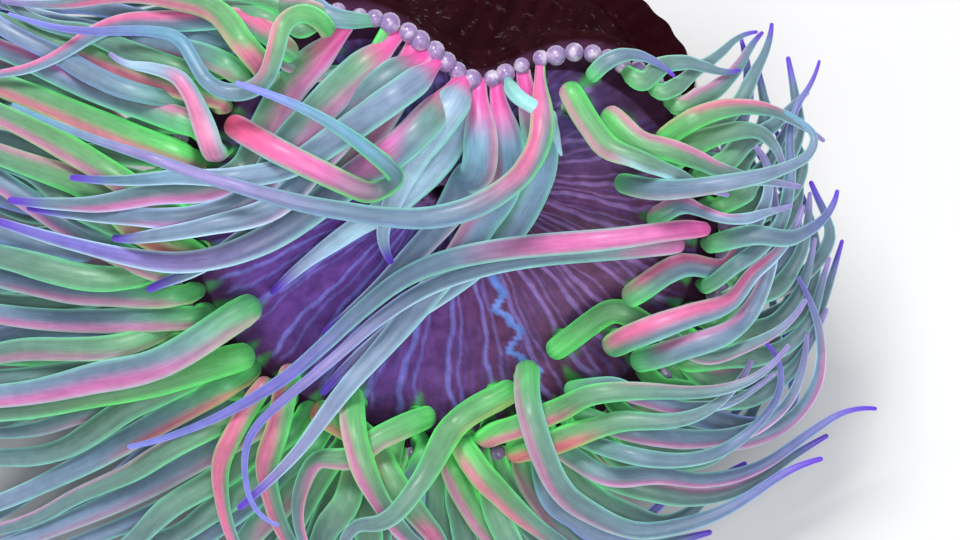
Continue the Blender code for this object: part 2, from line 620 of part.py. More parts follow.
def wedge_edges(angles):
    """Angles at which the margin is cut into pieces: each midway in a gap between two roots."""
    angles = sorted(angle % 360 for angle in angles)
    gaps = [((b - a) % 360, (a + ((b - a) % 360) / 2) % 360) for a, b in zip(angles, angles[1:] + angles[:1])]
    edges = []
    for k in range(MARGIN_PIECES):
        near = 360 * (k + 0.5) / MARGIN_PIECES
        reach = 0.42 * 360 / MARGIN_PIECES
        choice = [g for g in gaps if abs((g[1] - near + 180) % 360 - 180) < reach]
        edges.append(max(choice)[1] if choice else near)
    return sorted(edges)


def bead(centre, radius):
    """An acrorhagus: a small bead, faceted as an octahedron."""
    corners = [ACROSS, UPHILL, -ACROSS, -UPHILL]
    vertices = [centre + corner * radius for corner in corners + [FACING, -FACING]]
    faces = [(k, (k + 1) % 4, 4) for k in range(4)] + [((k + 1) % 4, k, 5) for k in range(4)]
    return vertices, faces


def make_margin(number, start, end, limbs, finish):
    """A piece of the margin with its acrorhagi and with the tentacles that grow from it."""
    count = max(3, int((end - start) / MARGIN_STEP) + 1)
    inset = GAP / 2 / math.radians(1) / CROWN_HALF_DEPTH
    profile = [(MARGIN_INNER, -CROWN_THICKNESS), (MARGIN_INNER, 0.0), (0.965, 0.0)]
    profile += [(1.0, -1.6), (1.0, -5.5), (0.94, -CROWN_THICKNESS)]
    vertices = [
        crown_point(share, angle, height)
        for angle in np.linspace(start + inset, end - inset, count)
        for share, height in profile
    ]
    name = f"margin_{number:02d}"
    thing = mesh_object(name, vertices, band_faces(count, len(profile), capped=True), finish)
    beads = max(1, int((end - start) / BEAD_STEP))
    step = (end - start) / beads
    centres = [crown_point(BEAD_SHARE, start + step * (k + 0.5), BEAD_RADIUS * 0.3) for k in range(beads)]
    union(thing, *joined([bead(centre, BEAD_RADIUS) for centre in centres]))
    for limb in limbs:
        union(thing, *limb)


def root_angle(point):
    """The angle round the crown at which a tentacle is rooted, in degrees."""
    u, v, _ = crown_place(point)
    return math.degrees(math.atan2(v, u)) % 360


def main():
    for thing in list(bpy.data.objects):
        bpy.data.objects.remove(thing)
    flesh = material("column_flesh", (0.20, 0.07, 0.05), 0.45)
    disc = material("oral_disc", (0.16, 0.07, 0.14), 0.5)
    lips = material("mouth", (0.35, 0.16, 0.28), 0.45)
    margin = material("margin", (0.55, 0.42, 0.60), 0.4)
    skin = material("tentacle", (0.25, 0.60, 0.38), 0.5)
    make_foot(flesh)
    make_column(flesh)
    make_disc(disc)
    make_mouth(lips)

    tentacles = all_tentacles()
    crowd = Crowd(tentacles)
    crowd.settle(SETTLE_ROUNDS)
    crowd.thin()
    carried = []
    for tentacle, points, radii in zip(tentacles, crowd.points, crowd.radii):
        sides = 5 if tentacle.width >= THICK else 4
        if tentacle.share < FREE_SHARE:
            mesh_object(tentacle.name, *tube(points, radii, sides, FACING), skin)
            continue
        points = np.concatenate([[points[0] - FACING * (GAP + 0.7)], points])
        radii = np.concatenate([[radii[0] * 0.55], radii])
        carried.append((root_angle(points[0]), tube(points, radii, sides, FACING)))
    edges = wedge_edges([angle for angle, _ in carried])
    for number, (start, end) in enumerate(zip(edges, edges[1:] + [edges[0] + 360]), 1):
        limbs = [limb for angle, limb in carried if start < angle < end or start < angle + 360 < end]
        make_margin(number, start, end, limbs, margin)


if __name__ == "__main__":
    main()
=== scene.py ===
"""Finish of a snakelocks sea anemone: its living skin, crown of tentacles, stinging beads and studio.

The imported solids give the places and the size. Each tentacle's course is worked out here by the same
rule as in the solids, in millimetres and degrees, and then dressed as a fine, tapering, coloured skin.
The origin is the middle of the foot's underside, +Z is up, and +X is to the right as seen from the front.
"""

import logging
import math
import random
from collections.abc import Iterable, Sequence
from dataclasses import dataclass, replace
from enum import Enum

import bmesh
import bpy
import numpy as np
from bmesh.types import BMesh
from bpy.types import Material, Node, NodeSocket, NodeTree, Object
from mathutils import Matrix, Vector


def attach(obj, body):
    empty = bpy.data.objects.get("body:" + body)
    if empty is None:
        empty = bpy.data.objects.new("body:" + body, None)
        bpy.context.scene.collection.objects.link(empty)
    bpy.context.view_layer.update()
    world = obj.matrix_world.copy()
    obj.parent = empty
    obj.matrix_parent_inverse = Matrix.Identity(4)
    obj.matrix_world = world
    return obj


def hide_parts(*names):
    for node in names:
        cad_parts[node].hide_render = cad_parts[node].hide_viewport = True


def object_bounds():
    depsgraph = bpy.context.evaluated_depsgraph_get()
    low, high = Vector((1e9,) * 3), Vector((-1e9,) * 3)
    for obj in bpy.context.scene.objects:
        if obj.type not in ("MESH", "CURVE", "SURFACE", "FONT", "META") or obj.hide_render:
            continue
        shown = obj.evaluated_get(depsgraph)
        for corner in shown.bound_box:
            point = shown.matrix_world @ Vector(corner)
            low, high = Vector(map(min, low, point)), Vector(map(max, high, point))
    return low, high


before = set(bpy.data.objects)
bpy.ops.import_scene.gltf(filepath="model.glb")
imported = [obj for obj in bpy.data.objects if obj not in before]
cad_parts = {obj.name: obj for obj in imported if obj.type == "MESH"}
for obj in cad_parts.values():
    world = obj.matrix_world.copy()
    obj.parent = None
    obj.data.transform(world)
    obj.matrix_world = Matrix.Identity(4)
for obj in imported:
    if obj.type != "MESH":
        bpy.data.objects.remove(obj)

log = logging.getLogger("anemone")

Array = np.ndarray
METRES = 0.001
UP = np.array([0.0, 0.0, 1.0])


# ------------------------------------------------------------------------------------ colours
class Hue(Enum):
    """The animal's colours, as red, green and blue from 0 to 255."""

    FRESH = (92, 220, 104)
    LEAF = (98, 172, 106)
    MEADOW = (106, 158, 114)
    SAGE = (106, 136, 138)
    SLATE = (108, 132, 156)
    TEAL = (110, 160, 186)
    MIST = (128, 148, 176)
    MINT = (130, 198, 188)
    ICE = (190, 226, 250)
    LILAC = (146, 134, 190)
    LAVENDER = (118, 112, 192)
    PERIWINKLE = (132, 140, 226)
    VIOLET = (104, 62, 204)
    PINK = (230, 110, 186)
    ROSE = (208, 112, 170)
    SALMON = (238, 106, 162)
    MAUVE = (168, 122, 184)
    MAGENTA = (244, 70, 170)
    CORAL = (242, 90, 132)
    WINE = (88, 52, 84)
    PLUM = (92, 58, 124)
    DUSK = (100, 88, 170)
    BARK = (40, 12, 18)
    CREAM = (240, 228, 240)

    def linear(self, gain: float = 1.0) -> Array:
        """The colour in scene-linear light, at a gain."""
        share = np.array(self.value, float) / 255.0
        return np.where(share <= 0.04045, share / 12.92, ((share + 0.055) / 1.055) ** 2.4) * gain

    def rgba(self) -> tuple[float, ...]:
        """The colour as a shader's socket takes it."""
        return (*self.linear(), 1.0)


def shades(names: str) -> tuple[Hue, ...]:
    """The hues that a line of their names stands for."""
    return tuple(Hue[name.upper()] for name in names.split())


def ease(low: float, high: float, value: Array | float) -> Array:
    """A smooth step from 0 at low to 1 at high."""
    share = np.clip((value - low) / (high - low), 0.0, 1.0)
    return share * share * (3.0 - 2.0 * share)


def blend(first: Array, second: Array, weight: Array | float) -> Array:
    """Colours between two others, by a weight that has no colour axis of its own."""
    return first + (second - first) * np.asarray(weight)[..., None]


def ramp(hues: Sequence[Hue], place: Array) -> Array:
    """A colour that passes evenly through several hues as place goes from 0 to 1."""
    stops = np.linspace(0.0, 1.0, len(hues))
    table = np.array([hue.linear() for hue in hues])
    return np.stack([np.interp(place, stops, table[:, i]) for i in range(3)], axis=-1)


def turn_between(first: Array, second: Array) -> Array:
    """The turn from the second angle to the first, in radians, the short way round."""
    return np.angle(np.exp(1j * (first - second)))


def unit(vectors: Array) -> Array:
    """Vectors at a length of 1."""
    return vectors / np.linalg.norm(vectors, axis=-1, keepdims=True)


@dataclass(frozen=True)
class Blush:
    """A flush of another colour on one side of a tentacle.

    towards is the plan direction that the flushed side faces, in degrees. reach is how much of the
    seen width it covers, and start and end are where it lies along the tentacle, as shares. It fades
    over side_fade round the tentacle and over end_fade along it.
    """

    towards: float
    reach: float = 0.3
    start: float = 0.0
    end: float = 0.4
    hue: Hue = Hue.PINK
    strength: float = 0.8
    side_fade: float = 0.4
    end_fade: float = 0.09

    def over(self, colour: Array, normals: Array, along: Array, share: float) -> Array:
        """Lays the flush over a tentacle's colours.

        Args:
            colour: Linear colours, one for each point.
            normals: Outward directions of the points.
            along: Share of the way from root to tip of each point.
            share: How much of the flush to lay.

        Returns:
            The colours with the flush.
        """
        turn = math.radians(self.towards)
        way = np.array([math.cos(turn) * 0.97, math.sin(turn) * 0.97, -0.24])
        middle = 1.0 - 2.0 * self.reach
        side = ease(middle - self.side_fade, middle + self.side_fade, normals @ way)
        window = ease(self.start - self.end_fade, self.start + self.end_fade * 0.2, along)
        window = window * (1.0 - ease(self.end - self.end_fade, self.end + self.end_fade, along))
        return blend(colour, self.hue.linear(), side * window * self.strength * share)


@dataclass(frozen=True)
class Look:
    """A tentacle's colours along its back and its edges, and how its skin departs from its solid.

    glow is the green of its elbow, over glow_reach of its length. Its tip's colour starts at tip_from.
    neck is the width of its base against the rest, over neck_reach of its length. from_rim is how far
    out a narrow base starts, as a share of the crown's radius, or 0 for a base that stands on the disc.
    gather draws such bases together at the notch, and base is how far their magenta reaches. rounding
    is how often its turns are eased, stretch draws it out sideways from its elbow, and girth is its
    width against its solid. Its edges are brighter than its back: partly the green of its sides, partly a
    painted rim highlight.
    """

    back: tuple[Hue, ...] = shades("sage slate mist")
    edge: tuple[Hue, ...] = shades("mint mint ice")
    glow: float = 0.95
    glow_reach: float = 0.12
    tip: Hue = Hue.LILAC
    tip_from: float = 0.8
    tip_fade: float = 0.25
    neck: float = 1.0
    neck_reach: float = 0.2
    from_rim: float = 0.0
    gather: float = 1.0
    base: float = 0.0
    rounding: int = 0
    stretch: float = 1.0
    girth: float = 0.94
    flushes: tuple[Blush, ...] = ()

    def colours(self, normals: Array, along: Array) -> tuple[Array, Array]:
        """Linear colours of a tentacle's points.

        Args:
            normals: Outward directions of the points.
            along: Share of the way from root to tip.

        Returns:
            The colour of its back and the colour of its edges, at each point.
        """
        back, edge = ramp(self.back, along), ramp(self.edge, along)
        elbow = np.exp(-((along / self.glow_reach) ** 2)) * self.glow
        back, edge = blend(back, Hue.FRESH.linear(), elbow * 0.7), blend(edge, Hue.FRESH.linear(), elbow)
        for flush in self.flushes:
            back, edge = flush.over(back, normals, along, 1.0), flush.over(edge, normals, along, 0.45)
        if self.base:
            bright = 0.85 - 0.85 * ease(self.base * 0.3, self.base * 1.2, along)
            back = blend(back, Hue.MAGENTA.linear(), bright)
            edge = blend(edge, Hue.PINK.linear(), bright * 0.5)
        tip = ease(self.tip_from, min(1.0, self.tip_from + self.tip_fade), along)
        # The tip's edges are a third brighter than its back: part of the painted rim highlight.
        return blend(back, self.tip.linear(), tip), blend(edge, self.tip.linear(1.3), tip)


# ------------------------------------------------------------------------------------- crown
@dataclass(frozen=True)
class Crown:
    """The oval oral disc and its margin, leaning forward on the column.

    Its lobe and its notch are each a size, the angle where it is, and a spread. Outside the margin the
    ground falls at fall_slope, and meets the floor in a curve of floor_blend.
    """

    middle: tuple[float, float, float] = (-7.0, -20.0, 37.0)
    lean: float = 36.0
    half_width: float = 37.0
    half_depth: float = 34.5
    lobe: tuple[float, float, float] = (0.09, math.radians(125), math.radians(30))
    notch: tuple[float, float, float] = (0.20, math.radians(78), math.radians(15))
    fall_slope: float = 0.55
    floor_blend: float = 4.0
    dish_share: float = 0.70
    dish_depth: float = 4.5
    mouth_half_length: float = 4.2
    mouth_half_width: float = 2.6
    mouth_shift: float = 5.0
    gap: float = 0.3

    def __post_init__(self) -> None:
        """Works out the crown's own directions from its lean."""
        lean = math.radians(self.lean)
        object.__setattr__(self, "centre", np.array(self.middle))
        object.__setattr__(self, "across", np.array([1.0, 0.0, 0.0]))
        object.__setattr__(self, "uphill", np.array([0.0, math.cos(lean), math.sin(lean)]))
        object.__setattr__(self, "facing", np.array([0.0, -math.sin(lean), math.cos(lean)]))
        object.__setattr__(self, "radius", (self.half_width + self.half_depth) / 2)

    def outline(self, turn: Array) -> Array:
        """The edge against an oval, by the angle round it in radians: a lobe and a notch."""
        parts = (self.lobe, self.notch)
        lobe, notch = (size * np.exp(-((turn_between(turn, at) / spread) ** 2)) for size, at, spread in parts)
        return lobe - notch

    def reach(self, turn: Array, share: float) -> Array:
        """How far out a share of the radius lies at an angle, against the oval."""
        return share * (1 + self.outline(turn) * share**2)

    def point(self, share: float, angle: float, height: float) -> Array:
        """A point of the crown.

        Args:
            share: Share of the way from the middle to the edge.
            angle: Angle round the crown, in degrees.
            height: Height over the crown's plane.

        Returns:
            The point.
        """
        turn = math.radians(angle)
        reach = self.reach(turn, share)
        return (
            self.centre
            + self.across * (self.half_width * reach * math.cos(turn))
            + self.uphill * (self.half_depth * reach * math.sin(turn))
            + self.facing * height
        )

    def ring(self, turns: Array, share: float, height: float) -> Array:
        """Points all round the crown at a share of its radius and a height over its plane."""
        reach = self.reach(turns, share)
        across = np.outer(self.half_width * reach * np.cos(turns), self.across)
        uphill = np.outer(self.half_depth * reach * np.sin(turns), self.uphill)
        return self.centre + across + uphill + self.facing * height

    def place(self, points: Array) -> tuple[Array, Array, Array]:
        """Points as shares of the crown's radius across and uphill, and their height over it."""
        away = points - self.centre
        across, uphill = away @ self.across / self.half_width, away @ self.uphill / self.half_depth
        return across, uphill, away @ self.facing

    def edge_share(self, u: Array, v: Array) -> Array:
        """How far out a place on the crown is, as a share of the way to its edge: point's inverse."""
        reach, lobes = np.hypot(u, v), self.outline(np.arctan2(v, u))
        share = reach.clip(0, 1)
        for _ in range(5):
            share = share - (share * (1 + lobes * share**2) - reach) / (1 + 3 * lobes * share**2)
            share = share.clip(0, 1)
        return np.where(reach < 1 + lobes, share, reach / (1 + lobes))

    def dish(self, share: Array) -> Array:
        """The oral disc's height over the crown's plane."""
        return -self.dish_depth * (1 - np.minimum(share / self.dish_share, 1) ** 2)

    def landscape(self, plan: Array) -> Array:
        """Height of the ground under plan points: the crown, and the slope from its edge down."""
        u = (plan[:, 0] - self.centre[0]) / self.half_width
        v = (plan[:, 1] - self.centre[1]) / (self.half_depth * self.uphill[1])
        out = self.edge_share(u, v)
        over = self.centre[2] + v * self.half_depth * self.uphill[2] / np.maximum(out, 1)
        over += self.dish(out) / self.facing[2]
        beyond = np.maximum(out - 1, 0) * (self.half_width + self.half_depth * self.uphill[1]) / 2
        return self.floor_blend * np.logaddexp(0, (over - self.fall_slope * beyond) / self.floor_blend)

    def inward(self, root: Array) -> Array:
        """The direction from a root to the mouth, along the crown."""
        way = self.centre + self.uphill * self.mouth_shift - root
        return unit(way - self.facing * (way @ self.facing))


# The solids' crown, and the same with the deeper notch of its skin.
CROWN = Crown()
SHOWN = Crown(notch=(0.31, math.radians(82), math.radians(17)))


# --------------------------------------------------------------------------------- tentacles
@dataclass
class Tentacle:
    """One tentacle: where it grows, how long and wide it is, and the way that it turns.

    headings are plan directions (0 is +X, 90 is +Y) at equal steps along it, from elbow to tip.
    lift is how high it lies over the crown, or over the slope from the crown down to the floor.
    """

    name: str
    angle: float
    share: float
    length: float
    width: float
    headings: tuple[float, ...]
    lift: float = 0.0


# Name, angle round the crown, share of its radius, length, width, headings and lift.
LEFT = [
    ("left_18", 240, 0.95, 56, 3.2, (228, 216, 212, 210, 206), 0),
    ("left_17", 233, 0.94, 58, 3.2, (222, 206, 200, 203, 200), 0),
    ("left_16", 227, 0.94, 64, 3.7, (216, 206, 201, 198, 192), 1),
    ("left_15", 212, 0.95, 60, 3.6, (210, 210, 204, 194, 190), 1),
    ("left_13", 204, 0.95, 58, 3.3, (190, 181, 178, 172, 170), 0),
    ("left_12", 191, 0.87, 60, 3.4, (186, 182, 170, 170, 172), 1),
    ("left_11", 187, 0.95, 58, 3.3, (190, 170, 164, 163, 166), 1),
    ("left_10", 209, 0.84, 66, 4.1, (194, 195, 190, 180, 174, 172), 3),
    ("left_9", 198, 0.86, 64, 4.4, (205, 203, 190, 172, 160, 158), 3),
    ("left_7", 179, 0.95, 60, 3.5, (170, 150, 147, 157, 162, 164), 2),
    ("left_6", 183, 0.80, 72, 3.8, (116, 150, 166, 162, 158, 158, 159, 160), 3),
    ("left_5", 166, 0.95, 66, 3.6, (158, 154, 151, 149, 152, 158), 2),
    ("left_a", 151, 0.95, 64, 3.9, (168, 156, 161, 163, 168, 172), 1),
    ("left_b", 145, 0.95, 58, 3.6, (162, 154, 158, 164, 168), 1),
    ("left_c", 137, 0.95, 58, 3.4, (172, 158, 153, 154, 158, 162), 0),
    ("left_4b", 130, 0.95, 42, 3.2, (145, 164, 168, 165, 160), 1),
    ("left_4c", 122, 0.96, 42, 3.1, (160, 178, 180, 212, 184, 178), 0),
    ("left_4", 125, 0.87, 40, 3.3, (116, 145, 165, 172, 188, 176, 168), 2),
    ("left_1", 153, 0.85, 21, 3.1, (88, 98, 130, 168, 172, 140), 5),
]
FRONT = [
    ("front_12", 272, 0.95, 28, 3.6, (288, 306, 322, 338, 345), 0),
    ("front_10", 274, 0.84, 26, 3.7, (296, 312, 322, 334, 338), 1),
    ("front_11", 265, 0.92, 20, 3.2, (200, 242, 295, 330, 345), 1),
    ("front_14", 219, 0.93, 30, 2.8, (240, 256, 272, 287, 314, 345), 3),
    ("front_15", 224, 0.85, 32, 3.4, (250, 264, 282, 302, 325, 348), 3),
    ("front_13", 231, 0.79, 38, 4.0, (325, 311, 304, 298, 313, 328), 3),
    ("front_9", 264, 0.76, 32, 3.4, (178, 186, 208, 242, 262, 290, 315), 3),
    ("front_8", 243, 0.84, 30, 3.6, (284, 295, 310, 325, 335, 352), 5),
    ("front_7", 298, 0.60, 39, 3.7, (214, 220, 221, 218, 211, 240, 290, 325), 6),
]
RIGHT = [
    ("right_20", 318, 0.90, 42, 3.0, (322, 336, 358, 20, 56, 92, 112, 126), 0),
    ("right_19", 305, 0.88, 36, 3.2, (344, 350, 354, 8, 40, 76, 90), 0),
    ("right_18", 301, 0.94, 38, 2.4, (328, 338, 356, 16, 40, 58, 104, 152), 0),
    ("right_5", 295, 0.87, 46, 2.9, (338, 334, 344, 0, 22, 38, 32, 354), 1),
    ("right_2", 303, 0.72, 29, 2.8, (5, 6, 350, 342, 4, 30, 42), 1),
    ("right_4", 289, 0.90, 32, 3.5, (45, 18, 357, 356, 12, 38, 66), 3),
    ("right_3", 281, 0.84, 42, 3.3, (72, 30, 358, 354, 352, 6, 30, 54), 4),
    ("front_6", 289, 0.70, 54, 3.6, (266, 294, 320, 350, 14, 27, 36, 14), 4),
    ("right_1", 308, 0.63, 34, 3.3, (34, 36, 346, 334, 352, 12, 36, 62), 4),
    ("right_13", 334, 0.82, 29, 3.7, (16, 24, 30, 50, 72, 98, 120), 2),
    ("right_12", 331, 0.70, 29, 3.6, (40, 30, 24, 27, 36, 62, 85), 4),
    ("right_11", 349, 0.68, 29, 3.5, (22, 18, 20, 34, 66, 112, 150), 4),
    ("right_14", 357, 0.92, 33, 2.2, (4, 22, 52, 92, 95, 78, 55, 76), 1),
    ("right_8", 8, 0.92, 17, 2.8, (0, 358, 12, 36, 80), 1),
    ("right_7", 16, 0.84, 17, 2.8, (352, 350, 10, 40), 2),
    ("right_17", 60, 0.94, 12, 2.2, (30, 12, 340, 318), 1),
    ("right_16", 34, 0.88, 17, 3.3, (20, 12, 325, 284), 2),
    ("right_15", 43, 0.89, 23, 2.9, (20, 10, 358, 334, 328), 3),
    ("right_10", 50, 0.84, 25, 3.3, (328, 328, 338, 352, 356), 3),
    ("right_9", 57, 0.82, 24, 3.3, (304, 316, 334, 346, 353), 4),
    ("right_6", 22, 0.74, 27.5, 3.2, (10, 5, 3, 8, 15, 50, 110, 155, 172), 4),
]
BACK = [
    ("back_12", 112, 0.87, 44, 3.2, (222, 216, 203, 189, 180, 172), 1),
    ("back_10", 106, 0.91, 48, 3.3, (225, 219, 208, 194, 177, 170), 1),
    ("back_11", 101, 0.80, 40, 3.4, (240, 228, 210, 204, 206), 1),
    ("back_9", 100, 0.94, 46, 3.4, (258, 220, 210, 206, 196, 180), 2),
    ("back_8", 96, 0.86, 46, 2.8, (213, 209, 204, 189, 180, 172), 3),
    ("back_2", 85, 0.77, 33, 3.1, (238, 230, 212, 216, 224), 2),
    ("back_4", 80, 0.87, 36, 3.2, (270, 242, 226, 222, 216), 1),
    ("back_5", 76, 0.76, 60, 3.0, (278, 248, 228, 228, 228, 223, 220), 2),
    ("back_6", 71, 0.83, 46, 3.2, (286, 250, 220, 217, 220, 230), 2),
    ("back_7", 68, 0.93, 9, 3.2, (284, 288, 290), 3),
    ("back_3", 91, 0.78, 22, 3.2, (238, 243, 238, 256, 304), 4),
    ("back_13", 88, 0.91, 71, 3.2, (244, 227, 218, 215, 212, 205, 190, 171, 165, 164, 161, 167), 4),
]
CURL = (130, 190, 248, 252, 215, 180, 120, 118, 165, 174, 178, 172, 166, 160, 158)
HAIRPIN = (333, 338, 341, 328, 322, 60, 140, 146, 153, 163, 166, 168)
OVER_DISC = [
    ("over_5", 115, 0.95, 50, 2.5, CURL, 6),
    ("over_4", 140, 0.87, 48, 3.4, HAIRPIN, 7),
    ("over_2", 0, 0.82, 74, 2.7, (184, 180, 180, 186, 196, 212, 222, 219, 230, 272, 335), 4),
    ("over_3", 9, 0.83, 78, 3.7, (182, 187, 187, 190, 193, 203, 224, 227, 219, 209, 204, 198, 190), 5),
    ("over_1", 63, 0.82, 81, 3.9, (288, 244, 206, 182, 175, 171, 167, 164, 160, 160, 156, 153), 8),
]

# The outer cycle turns with the current: angle round the crown, heading at elbow and tip, length.
CURRENT = [
    (108, 166, 166, 42),
    (150, 166, 160, 56),
    (180, 180, 172, 58),
    (215, 200, 184, 58),
    (245, 228, 196, 50),
    (268, 275, 325, 36),
    (290, 318, 20, 34),
    (320, 340, 60, 28),
    (350, 5, 90, 20),
    (375, 20, 75, 16),
    (412, 20, 330, 14),
]
OUTER_SHARE = 0.94
OUTER_WIDTH = 3.1
OUTER_STEP = 2.0
OUTER_WOBBLE = 9
ROOT_SPACING = 3.9


def columns(rows: Sequence[tuple[float, ...]]) -> list[Array]:
    """The columns of a table like CURRENT, with no jump of 360 degrees in its headings."""
    made = [np.array(column, float) for column in zip(*rows)]
    made[1:3] = [np.unwrap(headings, period=360) for headings in made[1:3]]
    return made


def outer_cycle(taken: list[Array]) -> list[Tentacle]:
    """More tentacles for the margin, wherever the roots already taken leave room.

    Args:
        taken: Roots of the tentacles that are already there. It grows with the new roots.

    Returns:
        The new tentacles; the back stays bare.
    """
    chance = random.Random(11)
    angles, starts, ends, lengths = columns(CURRENT)
    grown = []
    for angle in np.arange(angles[0], angles[-1], OUTER_STEP):
        root = CROWN.point(OUTER_SHARE, angle, 0)
        if min(np.linalg.norm(root - other) for other in taken) < ROOT_SPACING:
            continue
        taken.append(root)
        start, end = np.interp(angle, angles, starts), np.interp(angle, angles, ends)
        wobble = chance.uniform(-OUTER_WOBBLE, OUTER_WOBBLE)
        headings = (start, start + wobble, (start + end) / 2 - wobble, end + wobble, end)
        length = np.interp(angle, angles, lengths) * chance.uniform(0.85, 1.1)
        name = f"outer_{len(grown) + 1:02d}"
        grown.append(Tentacle(name, angle, OUTER_SHARE, length, OUTER_WIDTH, headings))
    return grown


def all_tentacles() -> list[Tentacle]:
    """Every tentacle of the solids, in the order in which they lie on one another."""
    rows = [Tentacle(*row) for group in (LEFT, FRONT, RIGHT, BACK, OVER_DISC) for row in group]
    return outer_cycle([CROWN.point(row.share, row.angle, 0) for row in rows]) + rows


@dataclass
class Course:
    """The way that one tentacle would take with no other in its way.

    It rises by elbow from its root, turns over and then follows its headings over the crown. Its
    places lie closer together where it turns: a length of straight counts as much as a turn of 1.
    """

    tentacle: Tentacle
    elbow: float = 2.6
    limb_gap: float = 0.45
    tip_share: float = 0.2
    root_share: float = 0.75
    joints: int = 10
    steps: int = 399
    straight: float = 12.0
    start_ahead: float = 1.3
    shoulder: float = 0.35
    fall_length: float = 8.0

    def __post_init__(self) -> None:
        """Works out the plan of the limb from its elbow on, in small steps."""
        tentacle = self.tentacle
        self.radius = tentacle.width / 2
        surface = CROWN.dish(tentacle.share) + CROWN.gap
        self.root = CROWN.point(tentacle.share, tentacle.angle, surface)
        self.corner = self.root + CROWN.facing * self.elbow
        turn = math.radians(tentacle.headings[0])
        start = self.corner[:2] + np.array([math.cos(turn), math.sin(turn)]) * self.radius * self.start_ahead
        self.along = np.linspace(0, 1, self.steps + 1)
        knots = np.linspace(0, 1, len(tentacle.headings))
        self.heading = np.radians(np.interp(self.along, knots, np.unwrap(tentacle.headings, period=360)))
        step = tentacle.length / self.steps
        moves = np.stack([np.cos(self.heading), np.sin(self.heading)], axis=1) * step
        self.path = start + np.concatenate([[[0, 0]], np.cumsum(moves[:-1], axis=0)])
        self.turning = np.cumsum(step / self.straight + np.abs(np.gradient(self.heading)))

    def stations(self, count: int) -> Array:
        """Places along the limb, closer together where it turns, as shares of its length."""
        return np.interp(np.linspace(self.turning[0], self.turning[-1], count), self.turning, self.along)

    def from_root(self, along: Array | float) -> Array:
        """Places along the limb as shares of the whole tentacle, with its elbow."""
        return 0.07 + 0.93 * along

    def width_share(self, along: Array) -> Array:
        """Half width as a share of the widest: narrow root, full elbow, long taper."""
        grown = np.interp(along, (0, 0.04, 0.08), (self.root_share, 0.86, 1.0))
        return grown * np.interp(along, (0.0, 0.3, 1.0), (1.0, 1.0, self.tip_share))

    def radii(self, along: Array) -> Array:
        """Half widths at places along the limb."""
        return self.radius * self.width_share(self.from_root(along))

    def line(self, along: Array) -> Array:
        """Points of the centre line at places along the limb, from the elbow on."""
        plan = np.stack([np.interp(along, self.along, self.path[:, i]) for i in (0, 1)], axis=1)
        ground = CROWN.landscape(plan) + self.radii(along) + self.limb_gap + self.tentacle.lift
        top = self.corner[2] + self.radius * self.shoulder
        heights = ground + (top - ground[0]) * np.exp(-along * self.tentacle.length / self.fall_length)
        return np.column_stack([plan, heights])

    def first_joints(self) -> tuple[Array, Array]:
        """The few joints that the crowd eases apart, root and elbow first, and their half widths."""
        along = self.stations(self.joints - 2)
        points = np.concatenate([[self.root, self.corner], self.line(along)])
        ends = self.radius * self.width_share(np.array([0, 0.04]))
        return points, np.concatenate([ends, self.radii(along)])


